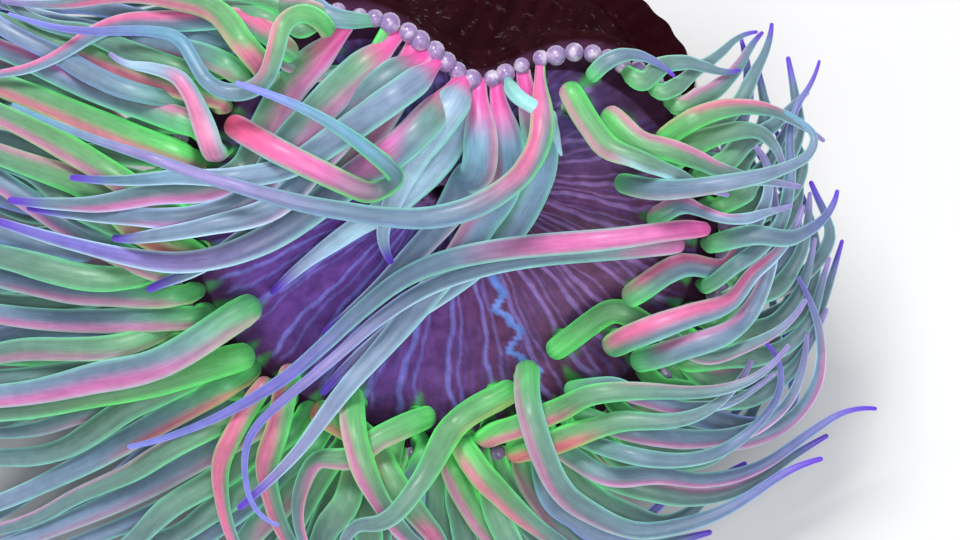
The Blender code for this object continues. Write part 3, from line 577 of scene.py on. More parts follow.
@dataclass
class Crowd:
    """Every tentacle's joints, eased together until none runs through another.

    held are the joints of the first courses if they are settled already: the rest fit in round them,
    inside limits, the lowest and highest x and y. A root stays within a band of shares of the crown's
    radius: free, carried by the margin, or low, under the rest. easing is the share of the rounds that
    a stage ends at, how much it smooths and how much it pulls back.
    """

    courses: list[Course]
    held: Array | None = None
    held_radii: Array | None = None
    limits: tuple[tuple[float, float], tuple[float, float]] | None = None
    gap: float = 0.45
    wall_gap: float = 0.3
    floor_share: float = 0.86
    free_share: float = 0.9
    free_band: tuple[float, float] = (0.4, 0.9)
    carried_band: tuple[float, float] = (0.905, 0.945)
    low_band: tuple[float, float] = (0.9, 0.985)
    length_band: tuple[float, float] = (0.88, 1.12)
    root_slide: float = 3.5
    sliver: float = 0.12
    thinnest: float = 0.36
    neighbourhood: float = 3.0
    longest_push: float = 1.5
    push_share: float = 0.62
    rounds: int = 900
    recount: int = 6
    easing: tuple[tuple[float, float, float], ...] = ((0.55, 0.22, 0.02), (0.8, 0.08, 0.004), (1.0, 0.0, 0.0))

    def __post_init__(self) -> None:
        """Sets every tentacle on its own course, with its lengths and bends."""
        lines = [course.first_joints() for course in self.courses]
        self.aim = np.array([line for line, _ in lines])
        self.radii = np.array([radii for _, radii in lines])
        self.rank = np.arange(len(self.courses), dtype=float)
        shares = [course.tentacle.share for course in self.courses]
        bands = [self.carried_band if share >= self.free_share else self.free_band for share in shares]
        self.count = 0 if self.held is None else len(self.held)
        if self.count:
            self.aim[: self.count], self.radii[: self.count] = self.held, self.held_radii
            self.rank[self.count :] -= 2 * len(self.courses)
            bands[self.count :] = [self.low_band] * (len(bands) - self.count)
        self.band = np.array(bands).T
        self.lengths = np.linalg.norm(self.aim[:, 1:] - self.aim[:, :-1], axis=2)
        bends = self.aim[:, :-2] + self.aim[:, 2:] - 2 * self.aim[:, 1:-1]
        self.bends = np.linalg.norm(bends, axis=2)
        self.points = self.aim.copy()

    def pairs(self, reach: float) -> tuple[Array, ...]:
        """Segments that are near one another: the line and segment numbers of each pair."""
        lines, joints, _ = self.points.shape
        middles = ((self.points[:, 1:] + self.points[:, :-1]) / 2).reshape(-1, 3)
        halves = np.linalg.norm(self.points[:, 1:] - self.points[:, :-1], axis=2).reshape(-1) / 2
        halves = halves + np.maximum(self.radii[:, 1:], self.radii[:, :-1]).reshape(-1)
        line = np.repeat(np.arange(lines), joints - 1)
        place = np.tile(np.arange(joints - 1), lines)
        square = (middles**2).sum(axis=1)
        far = square[:, None] + square[None] - 2 * middles @ middles.T
        near = far < (halves[:, None] + halves[None] + reach) ** 2
        first, second = np.nonzero(np.triu(near, 1))
        keep = (line[first] != line[second]) | (np.abs(place[first] - place[second]) > 3)
        first, second = first[keep], second[keep]
        return line[first], place[first], line[second], place[second]

    def half_widths(self, line: Array, segment: Array, share: Array | float) -> Array:
        """Half widths at a share of the way along segments."""
        return self.radii[line, segment] * (1 - share) + self.radii[line, segment + 1] * share

    def separate(self, pairs: tuple[Array, ...]) -> None:
        """Pushes near segments apart to their gap, at the places where they come closest.

        Args:
            pairs: Segments that are near one another, as pairs() gives them.
        """
        la, sa, lb, sb = pairs
        p, q = self.points[la, sa], self.points[lb, sb]
        d, e = self.points[la, sa + 1] - p, self.points[lb, sb + 1] - q
        w = p - q
        dd, ee, de = (d * d).sum(1), (e * e).sum(1), (d * e).sum(1)
        dw, ew = (d * w).sum(1), (e * w).sum(1)
        span = dd * ee - de * de
        skew = span > 0.02 * dd * ee
        s = np.where(skew, (de * ew - dw * ee) / np.where(skew, span, 1), 0.5).clip(0, 1)
        t = ((de * s + ew) / ee).clip(0, 1)
        s = ((de * t - dw) / dd).clip(0, 1)
        apart = w + d * s[:, None] - e * t[:, None]
        distance = np.linalg.norm(apart, axis=1)
        need = self.half_widths(la, sa, s) + self.half_widths(lb, sb, t) + self.gap
        flat = (np.abs(d[:, 2]) < 0.75 * np.sqrt(dd)) & (np.abs(e[:, 2]) < 0.75 * np.sqrt(ee))
        crossing = flat & (np.abs(de) < 0.9 * np.sqrt(dd * ee)) & (la != lb)
        sign = np.sign(self.rank[la] - self.rank[lb])
        way = apart / np.maximum(distance, 1e-6)[:, None]
        push = need - distance
        wrong = crossing & (distance < need) & (apart[:, 2] * sign < 0.6 * distance)
        way[wrong] = UP * sign[wrong, None]
        push[wrong] = (need - apart[:, 2] * sign)[wrong]
        hit = push > 0
        way, push, s, t = way[hit], push[hit].clip(0, self.longest_push), s[hit], t[hit]
        la, sa, lb, sb = la[hit], sa[hit], lb[hit], sb[hit]
        total = np.zeros_like(self.points)
        count = np.zeros(self.radii.shape)
        ends = ((la, sa, 1 - s, 1), (la, sa + 1, s, 1), (lb, sb, 1 - t, -1), (lb, sb + 1, t, -1))
        for line, joint, weight, turn in ends:
            np.add.at(total, (line, joint), way * (self.push_share * turn * weight * push)[:, None])
            np.add.at(count, (line, joint), weight)
        self.points += total / np.maximum(1, count)[:, :, None]

    def stand_roots(self) -> None:
        """Keeps the roots on the crown and in their bands, and the elbows over them."""
        shift = (self.points[:, :2] - self.aim[:, :2]).mean(axis=1)
        shift *= np.minimum(1, self.root_slide / np.maximum(np.linalg.norm(shift, axis=1), 1e-6))[:, None]
        u, v, _ = CROWN.place(self.aim[:, 0] + shift)
        share = CROWN.edge_share(u, v)
        pull = share.clip(self.band[0], self.band[1]) / share
        u, v = u * pull, v * pull
        root = CROWN.centre + CROWN.across * (u * CROWN.half_width)[:, None]
        root = root + CROWN.uphill * (v * CROWN.half_depth)[:, None]
        self.points[:, 0] = root + CROWN.facing * (CROWN.dish(CROWN.edge_share(u, v)) + CROWN.gap)[:, None]
        corner = self.points[:, 0] + CROWN.facing * self.courses[0].elbow
        bend = self.points[:, 2] - corner
        length = np.linalg.norm(self.aim[:, 2] - self.aim[:, 1], axis=1)
        bend += CROWN.facing * (length * 0.3 - bend @ CROWN.facing).clip(0, None)[:, None]
        self.points[:, 1] = corner
        self.points[:, 2] = corner + bend * (length / np.linalg.norm(bend, axis=1))[:, None]

    def hold_limbs(self) -> None:
        """Keeps every limb over the floor and outside the crown."""
        limb, radii = self.points[:, 3:], self.radii[:, 3:]
        limb[..., 2] = np.maximum(limb[..., 2], radii * self.floor_share)
        u, v, height = CROWN.place(limb)
        out = CROWN.edge_share(u, v)
        up = CROWN.dish(out) + radii + self.gap - height
        aside = (1 - out) * CROWN.radius + radii + self.gap
        hit = (up > 0) & (aside > 0)
        rise = hit & (up <= aside)
        limb += CROWN.facing * np.where(rise, up, 0)[..., None]
        ratio = np.where(hit & ~rise, aside / np.maximum(out * CROWN.radius, 1e-6), 0)
        limb += CROWN.across * (u * CROWN.half_width * ratio)[..., None]
        limb += CROWN.uphill * (v * CROWN.half_depth * ratio)[..., None]

    def keep_lengths(self) -> None:
        """Keeps every segment near the length that it has in its aim, and no bend much sharper."""
        steps = self.points[:, 1:] - self.points[:, :-1]
        lengths = np.linalg.norm(steps, axis=2)
        shortest, longest = self.length_band
        wrong = lengths - lengths.clip(self.lengths * shortest, self.lengths * longest)
        shift = steps * (0.35 * wrong / np.maximum(lengths, 1e-6))[:, :, None]
        self.points[:, :-1] += shift
        self.points[:, 1:] -= shift
        bend = self.points[:, :-2] + self.points[:, 2:] - 2 * self.points[:, 1:-1]
        size = np.maximum(np.linalg.norm(bend, axis=2), 1e-6)
        most = self.bends + 0.25 * (self.lengths[:, 1:] + self.lengths[:, :-1])
        self.points[:, 1:-1] += bend * (0.25 * (1 - most / size).clip(0, 1))[:, :, None]

    def settle(self) -> None:
        """Eases the whole crowd: back towards its aim and smoothly at first, then only kept apart."""
        for i in range(self.rounds):
            if i % self.recount == 0:
                pairs = self.pairs(self.neighbourhood)
            smooth, back = next(values for share, *values in self.easing if i < share * self.rounds)
            moved = self.points - self.aim
            eased = moved.copy()
            eased[:, 1:-1] += smooth * (moved[:, :-2] + moved[:, 2:] - 2 * moved[:, 1:-1])
            eased[:, -1] += smooth * (moved[:, -2] - moved[:, -1])
            self.points = self.aim + eased * (1 - back)
            self.keep_lengths()
            self.separate(pairs)
            self.stand_roots()
            self.hold_limbs()
            if self.count:
                self.points[: self.count] = self.held
                lows, highs = np.array(self.limits)
                loose = self.points[self.count :, 2:, :2]
                thick = self.radii[self.count :, 2:, None] + self.wall_gap
                loose[:] = np.clip(loose, lows + thick, highs - thick)

    def thin(self) -> None:
        """Narrows the few places where two tentacles still come closer than a sliver."""
        self.radii = np.maximum(self.radii, self.thinnest)
        for _ in range(12):
            la, sa, lb, sb = self.pairs(1.0)
            for s in (0.0, 0.25, 0.5, 0.75, 1.0):
                p = self.points[la, sa] * (1 - s) + self.points[la, sa + 1] * s
                q, e = self.points[lb, sb], self.points[lb, sb + 1] - self.points[lb, sb]
                t = (((p - q) * e).sum(1) / (e * e).sum(1)).clip(0, 1)
                distance = np.linalg.norm(p - q - e * t[:, None], axis=1)
                ra, rb = self.half_widths(la, sa, s), self.half_widths(lb, sb, t)
                for i in np.nonzero(distance - ra - rb < self.sliver)[0]:
                    keep = max(0.35, 1 - (ra[i] + rb[i] + self.sliver - distance[i]) / (ra[i] + rb[i]))
                    for radii in (self.radii[la[i], sa[i] : sa[i] + 2], self.radii[lb[i], sb[i] : sb[i] + 2]):
                        radii[:] = np.maximum(radii * (0.4 + 0.6 * keep), self.thinnest)


# --------------------------------------------------------------------------------- skin
def smooth_between(places: Array, knots: Array, values: Array) -> Array:
    """Values on a smooth curve through known ones, with no overshoot at its ends.

    Args:
        places: Where values are wanted, from the first knot to the last.
        knots: Where values are known, in rising order.
        values: The known values, one row for each knot.

    Returns:
        One row for each place.
    """
    slopes = np.gradient(values, knots, axis=0)
    low = np.clip(np.searchsorted(knots, places, side="right") - 1, 0, len(knots) - 2)
    width = knots[low + 1] - knots[low]
    t = ((places - knots[low]) / width)[:, None]
    width = width[:, None]
    first = values[low] * (2 * t**3 - 3 * t**2 + 1) + slopes[low] * (t**3 - 2 * t**2 + t) * width
    return first + values[low + 1] * (3 * t**2 - 2 * t**3) + slopes[low + 1] * (t**3 - t**2) * width


class Skin:
    """A mesh of closed sleeves, with the colours and the lie of every point."""

    def __init__(self) -> None:
        """Starts with no sleeves."""
        self.shape = bmesh.new()

    def add(self, part: BMesh) -> None:
        """Adds a finished part, which is freed."""
        mesh = bpy.data.meshes.new("part")
        part.to_mesh(mesh)
        part.free()
        self.shape.from_mesh(mesh)
        bpy.data.meshes.remove(mesh)

    def sleeve(
        self, rings: Array, colour: Array, lie: Array, soft: Array, vein: Array
    ) -> None:
        """Adds one closed sleeve: a grid rolled up, with its long edges welded and its ends filled.

        Args:
            rings: Points in millimetres, as rings, points of a ring, and x, y and z.
            colour: Linear colour of each point.
            lie: Coordinates that streaks follow, for each point.
            soft: A mask for each point.
            vein: A second linear colour for each point.
        """
        shape = bmesh.new()
        layers = shape.verts.layers
        flesh_layer, vein_layer = layers.float_color.new("flesh"), layers.float_color.new("vein")
        lie_layer, soft_layer = layers.float_vector.new("lie"), layers.float.new("soft")
        count, sides, _ = rings.shape
        made = bmesh.ops.create_grid(shape, x_segments=sides, y_segments=count - 1, size=0.5)["verts"]
        points = rings * METRES
        first, last, ends = {}, {}, ({}, {})
        for vertex in made:
            ring = round((vertex.co.y + 0.5) * (count - 1))
            side = round((vertex.co.x + 0.5) * sides)
            here = (ring, side % sides)
            vertex.co = points[here]
            vertex[flesh_layer] = (*colour[here], 1.0)
            vertex[vein_layer] = (*vein[here], 1.0)
            vertex[lie_layer] = lie[here]
            vertex[soft_layer] = float(soft[here])
            if side == 0:
                first[ring] = vertex
            if side == sides:
                last[ring] = vertex
            elif ring in (0, count - 1):
                ends[ring > 0][side] = vertex
        bmesh.ops.weld_verts(shape, targetmap={last[ring]: first[ring] for ring in first})
        for end in ends:
            bmesh.ops.contextual_create(shape, geom=[end[side] for side in range(sides)])
        bmesh.ops.recalc_face_normals(shape, faces=shape.faces)
        self.add(shape)

    def finish(self, name: str, material: Material) -> Object:
        """Turns the parts into a smooth-shaded object.

        Args:
            name: The object's name.
            material: Its material.

        Returns:
            The object, linked to the scene.
        """
        for face in self.shape.faces:
            face.smooth = True
        mesh = bpy.data.meshes.new(name)
        self.shape.to_mesh(mesh)
        self.shape.free()
        mesh.materials.append(material)
        thing = bpy.data.objects.new(name, mesh)
        bpy.context.scene.collection.objects.link(thing)
        return thing


@dataclass
class Limb:
    """One tentacle's fine skin round its settled course.

    A base that starts from the rim has rim_rings in place of elbow_rings, and leaves out the limb's
    first places, up to skipped. Such bases are drawn together round the angle gather_at.
    """

    course: Course
    joints: Array
    joint_radii: Array
    look: Look
    seed: int
    sides: int = 20
    spacing: float = 0.8
    fewest_places: int = 26
    elbow_rings: int = 10
    rim_rings: int = 18
    finest: float = 0.17
    outermost: float = 0.93
    gather_at: float = 82.0
    skipped: float = 0.16
    sunk: float = 0.75

    def __post_init__(self) -> None:
        """Works out the way in which the limb sets off."""
        turn = self.course.heading[0]
        self.ahead = np.array([math.cos(turn), math.sin(turn), 0.0])

    def limb_line(self, knots: Array) -> tuple[Array, Array]:
        """The limb's fine line from its elbow on, settled and then rounded and stretched.

        Args:
            knots: Places of the settled joints along the limb.

        Returns:
            Points, and their places along the limb.
        """
        course, look = self.course, self.look
        places = course.stations(max(self.fewest_places, int(course.tentacle.length / self.spacing)))
        limb = course.line(places) + smooth_between(places, knots, self.joints[2:] - course.line(knots))
        limb[:, 0] = limb[0, 0] + (limb[:, 0] - limb[0, 0]) * look.stretch
        for _ in range(look.rounding):
            limb[1:-1] = (limb[:-2] + limb[1:-1] * 2 + limb[2:]) / 4
        skip = int(np.argmax(places > self.skipped)) if look.from_rim else 0
        return limb[skip:], places[skip:]

    def handles(self, limb: Array) -> tuple[Array, ...]:
        """The root, two handles and the limb's start, which give the elbow its curve."""
        way = unit(limb[3] - limb[0])
        if not self.look.from_rim:
            root, radius = self.root(), self.course.radius
            corner = limb[0] - way * radius * 0.5
            return root, root + (corner - root) * 0.8, limb[0] - way * (radius * 0.9), limb[0]
        u, v, _ = CROWN.place(self.joints[0])
        angle = math.degrees(math.atan2(v, u)) % 360
        angle = self.gather_at + (angle - self.gather_at) * self.look.gather
        root = SHOWN.point(self.look.from_rim, angle, -0.1)
        corner = root + (limb[0] - root) * 0.35 + CROWN.facing * 1.6
        rise = np.linalg.norm(limb[0] - corner)
        return root, root + (corner - root) * 0.95, limb[0] - way * (rise * 0.75), limb[0]

    def half_widths(self, knots: Array, along: Array) -> Array:
        """Half widths along the tentacle: a little uneven, and thinned where its solid is.

        Args:
            knots: Places of the settled joints along the limb.
            along: Shares of the way from root to tip.

        Returns:
            A half width for each share.
        """
        course, look = self.course, self.look
        settled = np.concatenate([[0, 0.04], course.from_root(knots)])
        plain = np.concatenate([course.radius * course.width_share(settled[:2]), course.radii(knots)])
        thinned = np.interp(along, settled, np.minimum(self.joint_radii / plain, 1.0))
        neck = look.neck + (1 - look.neck) * ease(0.0, look.neck_reach, along)
        chance = random.Random(self.seed)
        waves = np.sin(along * chance.uniform(20, 34) + chance.uniform(0, 6))
        swell = 1 + 0.03 * waves * ease(0.08, 0.3, along)
        radii = course.radius * look.girth * course.width_share(np.maximum(along, 0.03))
        return np.maximum(radii * thinned * neck * swell, self.finest)

    def centre_line(self) -> tuple[Array, Array, Array]:
        """The fine centre line, with each point's half width and place along the tentacle.

        Returns:
            Points, half widths, and shares of the way from root to tip.
        """
        knots = self.course.stations(self.course.joints - 2)
        limb, places = self.limb_line(knots)
        rings = self.rim_rings if self.look.from_rim else self.elbow_rings
        t = np.linspace(0, 1, rings, endpoint=False)[:, None]
        a, b, c, d = self.handles(limb)
        elbow = a * (1 - t) ** 3 + 3 * b * t * (1 - t) ** 2 + 3 * c * t**2 * (1 - t) + d * t**3
        along = self.course.from_root(places)
        along = np.concatenate([along[0] * t[:, 0], along])
        return np.concatenate([elbow, limb]), self.half_widths(knots, along), along

    def root(self) -> Array:
        """The root on the disc, hidden straight below the start of the limb."""
        low = self.joints[2] + self.ahead * self.course.radius * 0.5
        for _ in range(3):
            u, v, height = CROWN.place(low)
            share = float(CROWN.edge_share(u, v))
            low = low - UP * (height - float(CROWN.dish(share)) - CROWN.gap) / CROWN.facing[2]
        share = min(share, self.outermost)
        return CROWN.point(share, math.degrees(math.atan2(v, u)), float(CROWN.dish(share)) + CROWN.gap)

    def directions(self, line: Array, along: Array) -> tuple[Array, Array, Array]:
        """Each ring's directions: along the tentacle, to its top and to its side.

        Args:
            line: Its centre line.
            along: Shares of the way from root to tip.

        Returns:
            Three directions for each ring.
        """
        ways = np.gradient(line, axis=0)
        if not self.look.from_rim:
            ways[0] = CROWN.facing
        ways = unit(ways)
        tops = UP - self.ahead * (1 - ease(0.02, 0.12, along))[:, None]
        tops -= ways * (tops * ways).sum(axis=1)[:, None]
        for _ in range(3):
            tops[1:-1] = (tops[:-2] + tops[1:-1] * 2 + tops[2:]) / 4
            tops -= ways * (tops * ways).sum(axis=1)[:, None]
        tops = unit(tops)
        return ways, tops, np.cross(ways, tops)

    def add_to(self, skin: Skin) -> None:
        """Adds the tentacle to a skin: a flared root that melts into the disc, the limb and its tip."""
        line, radii, along = self.centre_line()
        ways, tops, sides = self.directions(line, along)
        turns = np.linspace(0, 2 * math.pi, self.sides, endpoint=False)
        cos, sin = np.cos(turns)[None, :, None], np.sin(turns)[None, :, None]
        normals = tops[:, None] * cos + sides[:, None] * sin
        flat = tops[:, None] * cos * 0.88 + sides[:, None] * sin * 1.03
        rings = self.flare(line[:, None] + flat * radii[:, None, None], line, normals, radii)
        tip = line[-1] + ways[-1] * radii[-1] * np.array([0.55, 0.85])[:, None]
        caps = tip[:, None] + normals[-1] * (radii[-1] * np.array([0.8, 0.4]))[:, None, None]
        rings = np.concatenate([rings, caps])
        normals = np.concatenate([normals, normals[-1:], normals[-1:]])
        spread = np.broadcast_to(np.append(along, [1.0, 1.0])[:, None], normals.shape[:2])
        back, edge = self.look.colours(normals, spread)
        steps = np.linalg.norm(np.diff(rings.mean(axis=1), axis=0), axis=1)
        run = np.concatenate([[0], np.cumsum(steps)]) + self.seed * 7.3
        lie = (cos[..., 0], sin[..., 0], run[:, None] * 0.05)
        lie = np.stack([np.broadcast_to(part, spread.shape) for part in lie], axis=-1)
        skin.sleeve(rings, back, lie, np.exp(-spread / 0.03), edge)

    def flare(
        self, rings: Array, line: Array, normals: Array, radii: Array
    ) -> Array:
        """Spreads the foot of the tentacle where it grows out of the disc, most towards the mouth.

        Args:
            rings: The tentacle's rings before the flare.
            line: Its centre line.
            normals: Outward directions of the ring points.
            radii: Half widths at each ring.

        Returns:
            The flared rings, with the first one sunk a little into the disc.
        """
        if not self.look.from_rim:
            height = np.maximum((line - line[0]) @ CROWN.facing, 0)
            near = np.arange(len(line)) < self.elbow_rings
            skirt = np.where(near, np.exp(-height / (0.8 * radii[0])), 0)[:, None]
            facing_in = np.clip(normals @ CROWN.inward(line[0]), 0, 1) ** 2
            grown = skirt * (0.1 + 0.5 * facing_in) * radii[0]
            rings = rings + (normals - (normals @ CROWN.facing)[..., None] * CROWN.facing) * grown[..., None]
        rings[0] -= CROWN.facing * self.sunk
        return rings


# --------------------------------------------------------------------------------- finishes
COLOUR, VECTOR, FLOAT = "NodeSocketColor", "NodeSocketVector", "NodeSocketFloat"


def node_group(
    name: str, inputs: Iterable[tuple[str, str, object]], outputs: Iterable[tuple[str, str]]
) -> tuple[NodeTree, Node, Node]:
    """A new shader node group with named sockets.

    Args:
        name: The group's name.
        inputs: Name, kind of socket and default of each input.
        outputs: Name and kind of socket of each output.

    Returns:
        The group, its input node and its output node.
    """
    group = bpy.data.node_groups.new(name, "ShaderNodeTree")
    for label, kind, default in inputs:
        socket = group.interface.new_socket(label, in_out="INPUT", socket_type=kind)
        if default is not None:
            socket.default_value = default
    for label, kind in outputs:
        group.interface.new_socket(label, in_out="OUTPUT", socket_type=kind)
    return group, group.nodes.new("NodeGroupInput"), group.nodes.new("NodeGroupOutput")


class Wiring:
    """Short ways to make and link the nodes of one tree."""

    def __init__(self, tree: NodeTree) -> None:
        """Wires up one node tree."""
        self.tree = tree

    def node(self, kind: str, **settings: object) -> Node:
        """A new node with some of its own settings."""
        made = self.tree.nodes.new(kind)
        for key, value in settings.items():
            setattr(made, key, value)
        return made

    def link(self, source: object, target: NodeSocket) -> None:
        """Links a socket, or sets a plain value, into a socket."""
        if isinstance(source, NodeSocket):
            self.tree.links.new(source, target)
        else:
            target.default_value = source

    def feed(self, node: Node, **sources: object) -> Node:
        """Links or sets a node's inputs by their names, with _ for a space."""
        for label, source in sources.items():
            self.link(source, node.inputs[label.replace("_", " ")])
        return node

    def math(self, operation: str, *values: object) -> NodeSocket:
        """The result of a Math node."""
        made = self.node("ShaderNodeMath", operation=operation)
        for value, socket in zip(values, made.inputs):
            self.link(value, socket)
        return made.outputs[0]

    def times(self, first: object, second: object) -> NodeSocket:
        """The product of two values."""
        return self.math("MULTIPLY", first, second)

    def plus(self, first: object, second: object) -> NodeSocket:
        """The sum of two values."""
        return self.math("ADD", first, second)

    def span(self, value: object, low: float, high: float, start: float = 0.0, end: float = 1.0) -> object:
        """A value mapped smoothly from one range to another."""
        made = self.node("ShaderNodeMapRange", interpolation_type="SMOOTHSTEP")
        self.feed(made, Value=value, From_Min=low, From_Max=high, To_Min=start, To_Max=end)
        return made.outputs["Result"]

    def mix(self, weight: object, first: object, second: object) -> NodeSocket:
        """A colour mixed from two others."""
        made = self.node("ShaderNodeMix", data_type="RGBA")
        for place, source in ((0, weight), (6, first), (7, second)):
            self.link(source, made.inputs[place])
        return made.outputs[2]

    def noise(self, vector: NodeSocket, scale: float, detail: float) -> NodeSocket:
        """The value of a Noise Texture."""
        made = self.feed(self.node("ShaderNodeTexNoise"), Vector=vector, Scale=scale, Detail=detail)
        return made.outputs["Fac"]

    def grain(self, scale: float, detail: float) -> NodeSocket:
        """Noise over the object's own coordinates."""
        return self.noise(self.node("ShaderNodeTexCoord").outputs["Object"], scale, detail)

    def gain(self, colour: NodeSocket, amount: object) -> NodeSocket:
        """A colour made brighter or darker."""
        made = self.node("ShaderNodeVectorMath", operation="SCALE")
        self.link(colour, made.inputs[0])
        return self.feed(made, Scale=amount).outputs[0]

    def parts(self, vector: NodeSocket) -> list[NodeSocket]:
        """The X, Y and Z of a vector."""
        return list(self.feed(self.node("ShaderNodeSeparateXYZ"), Vector=vector).outputs)

    def bump(self, height: NodeSocket, strength: float, distance: float) -> NodeSocket:
        """Normals from a height, at a strength and a depth in metres."""
        made = self.feed(self.node("ShaderNodeBump"), Height=height, Strength=strength, Distance=distance)
        return made.outputs[0]

    def attribute(self, name: str, output: str = "Color") -> NodeSocket:
        """A mesh attribute's value."""
        return self.node("ShaderNodeAttribute", attribute_name=name).outputs[output]

    def group(self, tree: NodeTree, **sources: object) -> Node:
        """One of the shared groups, with its inputs."""
        return self.feed(self.node("ShaderNodeGroup", node_tree=tree), **sources)


def streak_group() -> NodeTree:
    """A tentacle's back and edges, with fine streaks and soft mottling, painted shade on its underside, a
    painted rim highlight and a painted glow, as a node group.

    Its Lie input holds the cosine and sine of the angle round the tentacle, and the way along it.
    """
    inputs = [("Back", COLOUR, (1, 1, 1, 1)), ("Edge", COLOUR, (1, 1, 1, 1)), ("Lie", VECTOR, None)]
    inputs += [("Strength", FLOAT, 0.5)]
    outputs = [("Colour", COLOUR), ("Glow", COLOUR), ("Height", FLOAT), ("Roughness", FLOAT)]
    group, source, sink = node_group("FleshStreaks", inputs, outputs)
    wire = Wiring(group)
    back, edge, lie, strength = source.outputs[:4]
    top, side, _ = wire.parts(lie)
    aside = wire.math("ABSOLUTE", side)
    # Edge colour towards the seen sides: partly the green of the sides, partly a painted rim highlight.
    halo, rim = wire.span(aside, 0.5, 0.98), wire.span(aside, 0.84, 0.97)
    rim = wire.plus(wire.times(halo, 0.5), wire.times(rim, 0.5))
    mottle, broad, fine = wire.grain(520.0, 3.0), wire.noise(lie, 2.6, 3.0), wire.noise(lie, 9.0, 4.0)
    streak = wire.plus(wire.times(broad, 0.55), wire.times(fine, 0.45))
    depth = wire.times(wire.span(streak, 0.36, 0.66, -1.0, 1.0), strength)
    gain = wire.times(wire.plus(1.0, wire.times(depth, 0.3)), wire.span(mottle, 0.25, 0.75, 0.93, 1.07))
    # Painted shade: the underside darkens to a quarter, as if the light came from above.
    gain = wire.times(gain, wire.span(top, -0.6, 0.2, 0.25, 1.0))
    shade = wire.gain(wire.mix(rim, back, edge), gain)
    # Painted glow for the emission: the edges and the top, where the light would fall, shine most.
    lit = wire.times(wire.span(aside, 0.6, 0.98, 0.15, 1.0), wire.span(top, -0.5, 0.2))
    height = wire.plus(streak, wire.times(mottle, 0.35))
    rough = wire.span(mottle, 0.2, 0.8, 0.34, 0.5)
    wire.feed(sink, Colour=shade, Glow=wire.gain(shade, lit), Height=height, Roughness=rough)
    return group


def stripe_group() -> NodeTree:
    """Fine stripes that run out from the mouth between the painted lines, as a node group.

    Its Ray input holds the cosine and sine of the angle round the mouth, and the share of the way out.
    """
    inputs = [("Ray", VECTOR, None), ("Stripes", FLOAT, 132.0)]
    outputs = [("Stripe", FLOAT), ("Cloud", FLOAT), ("Disc", FLOAT)]
    group, source, sink = node_group("DiscStripes", inputs, outputs)
    wire = Wiring(group)
    ray, stripes = source.outputs[:2]
    cos, sin, out = wire.parts(ray)
    turns = wire.math("DIVIDE", wire.times(wire.math("ARCTAN2", sin, cos), stripes), 2 * math.pi)
    shift = wire.times(wire.noise(ray, 4.0, 1.0), 2.2)
    wave = wire.math("ABSOLUTE", wire.math("SUBTRACT", wire.math("FRACT", wire.plus(turns, shift)), 0.5))
    broken = wire.span(wire.noise(ray, 5.0, 1.0), 0.4, 0.62)
    stripe = wire.times(wire.span(wave, 0.12, 0.42), broken)
    wire.feed(sink, Stripe=stripe, Cloud=wire.noise(ray, 14.0, 4.0), Disc=wire.span(out, 1.0, 1.08, 1.0, 0.0))
    return group


def principled(name: str) -> tuple[Material, Wiring, Node]:
    """A new material with its wiring and its Principled shader."""
    made = bpy.data.materials.new(name)
    made.use_nodes = True
    return made, Wiring(made.node_tree), made.node_tree.nodes["Principled BSDF"]


def soft_flesh(shader: Node, depth: float, sheen: float, tint: Hue) -> None:
    """Gives a shader light that soaks in a little, and a velvety edge.

    Args:
        shader: The Principled shader.
        depth: How far light soaks in, in metres.
        sheen: Weight of the velvety edge.
        tint: Its colour.
    """
    shader.inputs["Subsurface Weight"].default_value = 0.25
    shader.inputs["Subsurface Radius"].default_value = (1.0, 0.7, 0.8)
    shader.inputs["Subsurface Scale"].default_value = depth
    shader.inputs["Sheen Weight"].default_value = sheen
    shader.inputs["Sheen Roughness"].default_value = 0.35
    shader.inputs["Sheen Tint"].default_value = tint.rgba()
    shader.inputs["Specular IOR Level"].default_value = 0.4
    shader.inputs["Coat Weight"].default_value = 0.08
    shader.inputs["Coat Roughness"].default_value = 0.18


@dataclass(frozen=True)
class FleshFinish:
    """Soft, satin, slightly translucent flesh with fine streaks along it, and a painted glow from its
    emission.
    """

    name: str = "tentacle_flesh"
    streaks: float = 0.4
    bump: float = 0.25
    sheen: float = 0.2
    depth: float = 0.0009
    painted_glow: float = 0.45

    def material(self) -> Material:
        """Builds the material."""
        made, wire, shader = principled(self.name)
        back, edge, lie = wire.attribute("flesh"), wire.attribute("vein"), wire.attribute("lie", "Vector")
        streaks = wire.group(streak_group(), Back=back, Edge=edge, Lie=lie, Strength=self.streaks).outputs
        normal = wire.bump(streaks["Height"], self.bump, 0.0002)
        wire.feed(shader, Base_Color=streaks["Colour"], Emission_Color=streaks["Glow"])
        wire.feed(shader, Roughness=streaks["Roughness"], Normal=normal)
        soft_flesh(shader, self.depth, self.sheen, Hue.MINT)
        # Painted glow: the emission lights the flesh though it is no lamp, and evens out its shading.
        shader.inputs["Emission Strength"].default_value = self.painted_glow
        return made


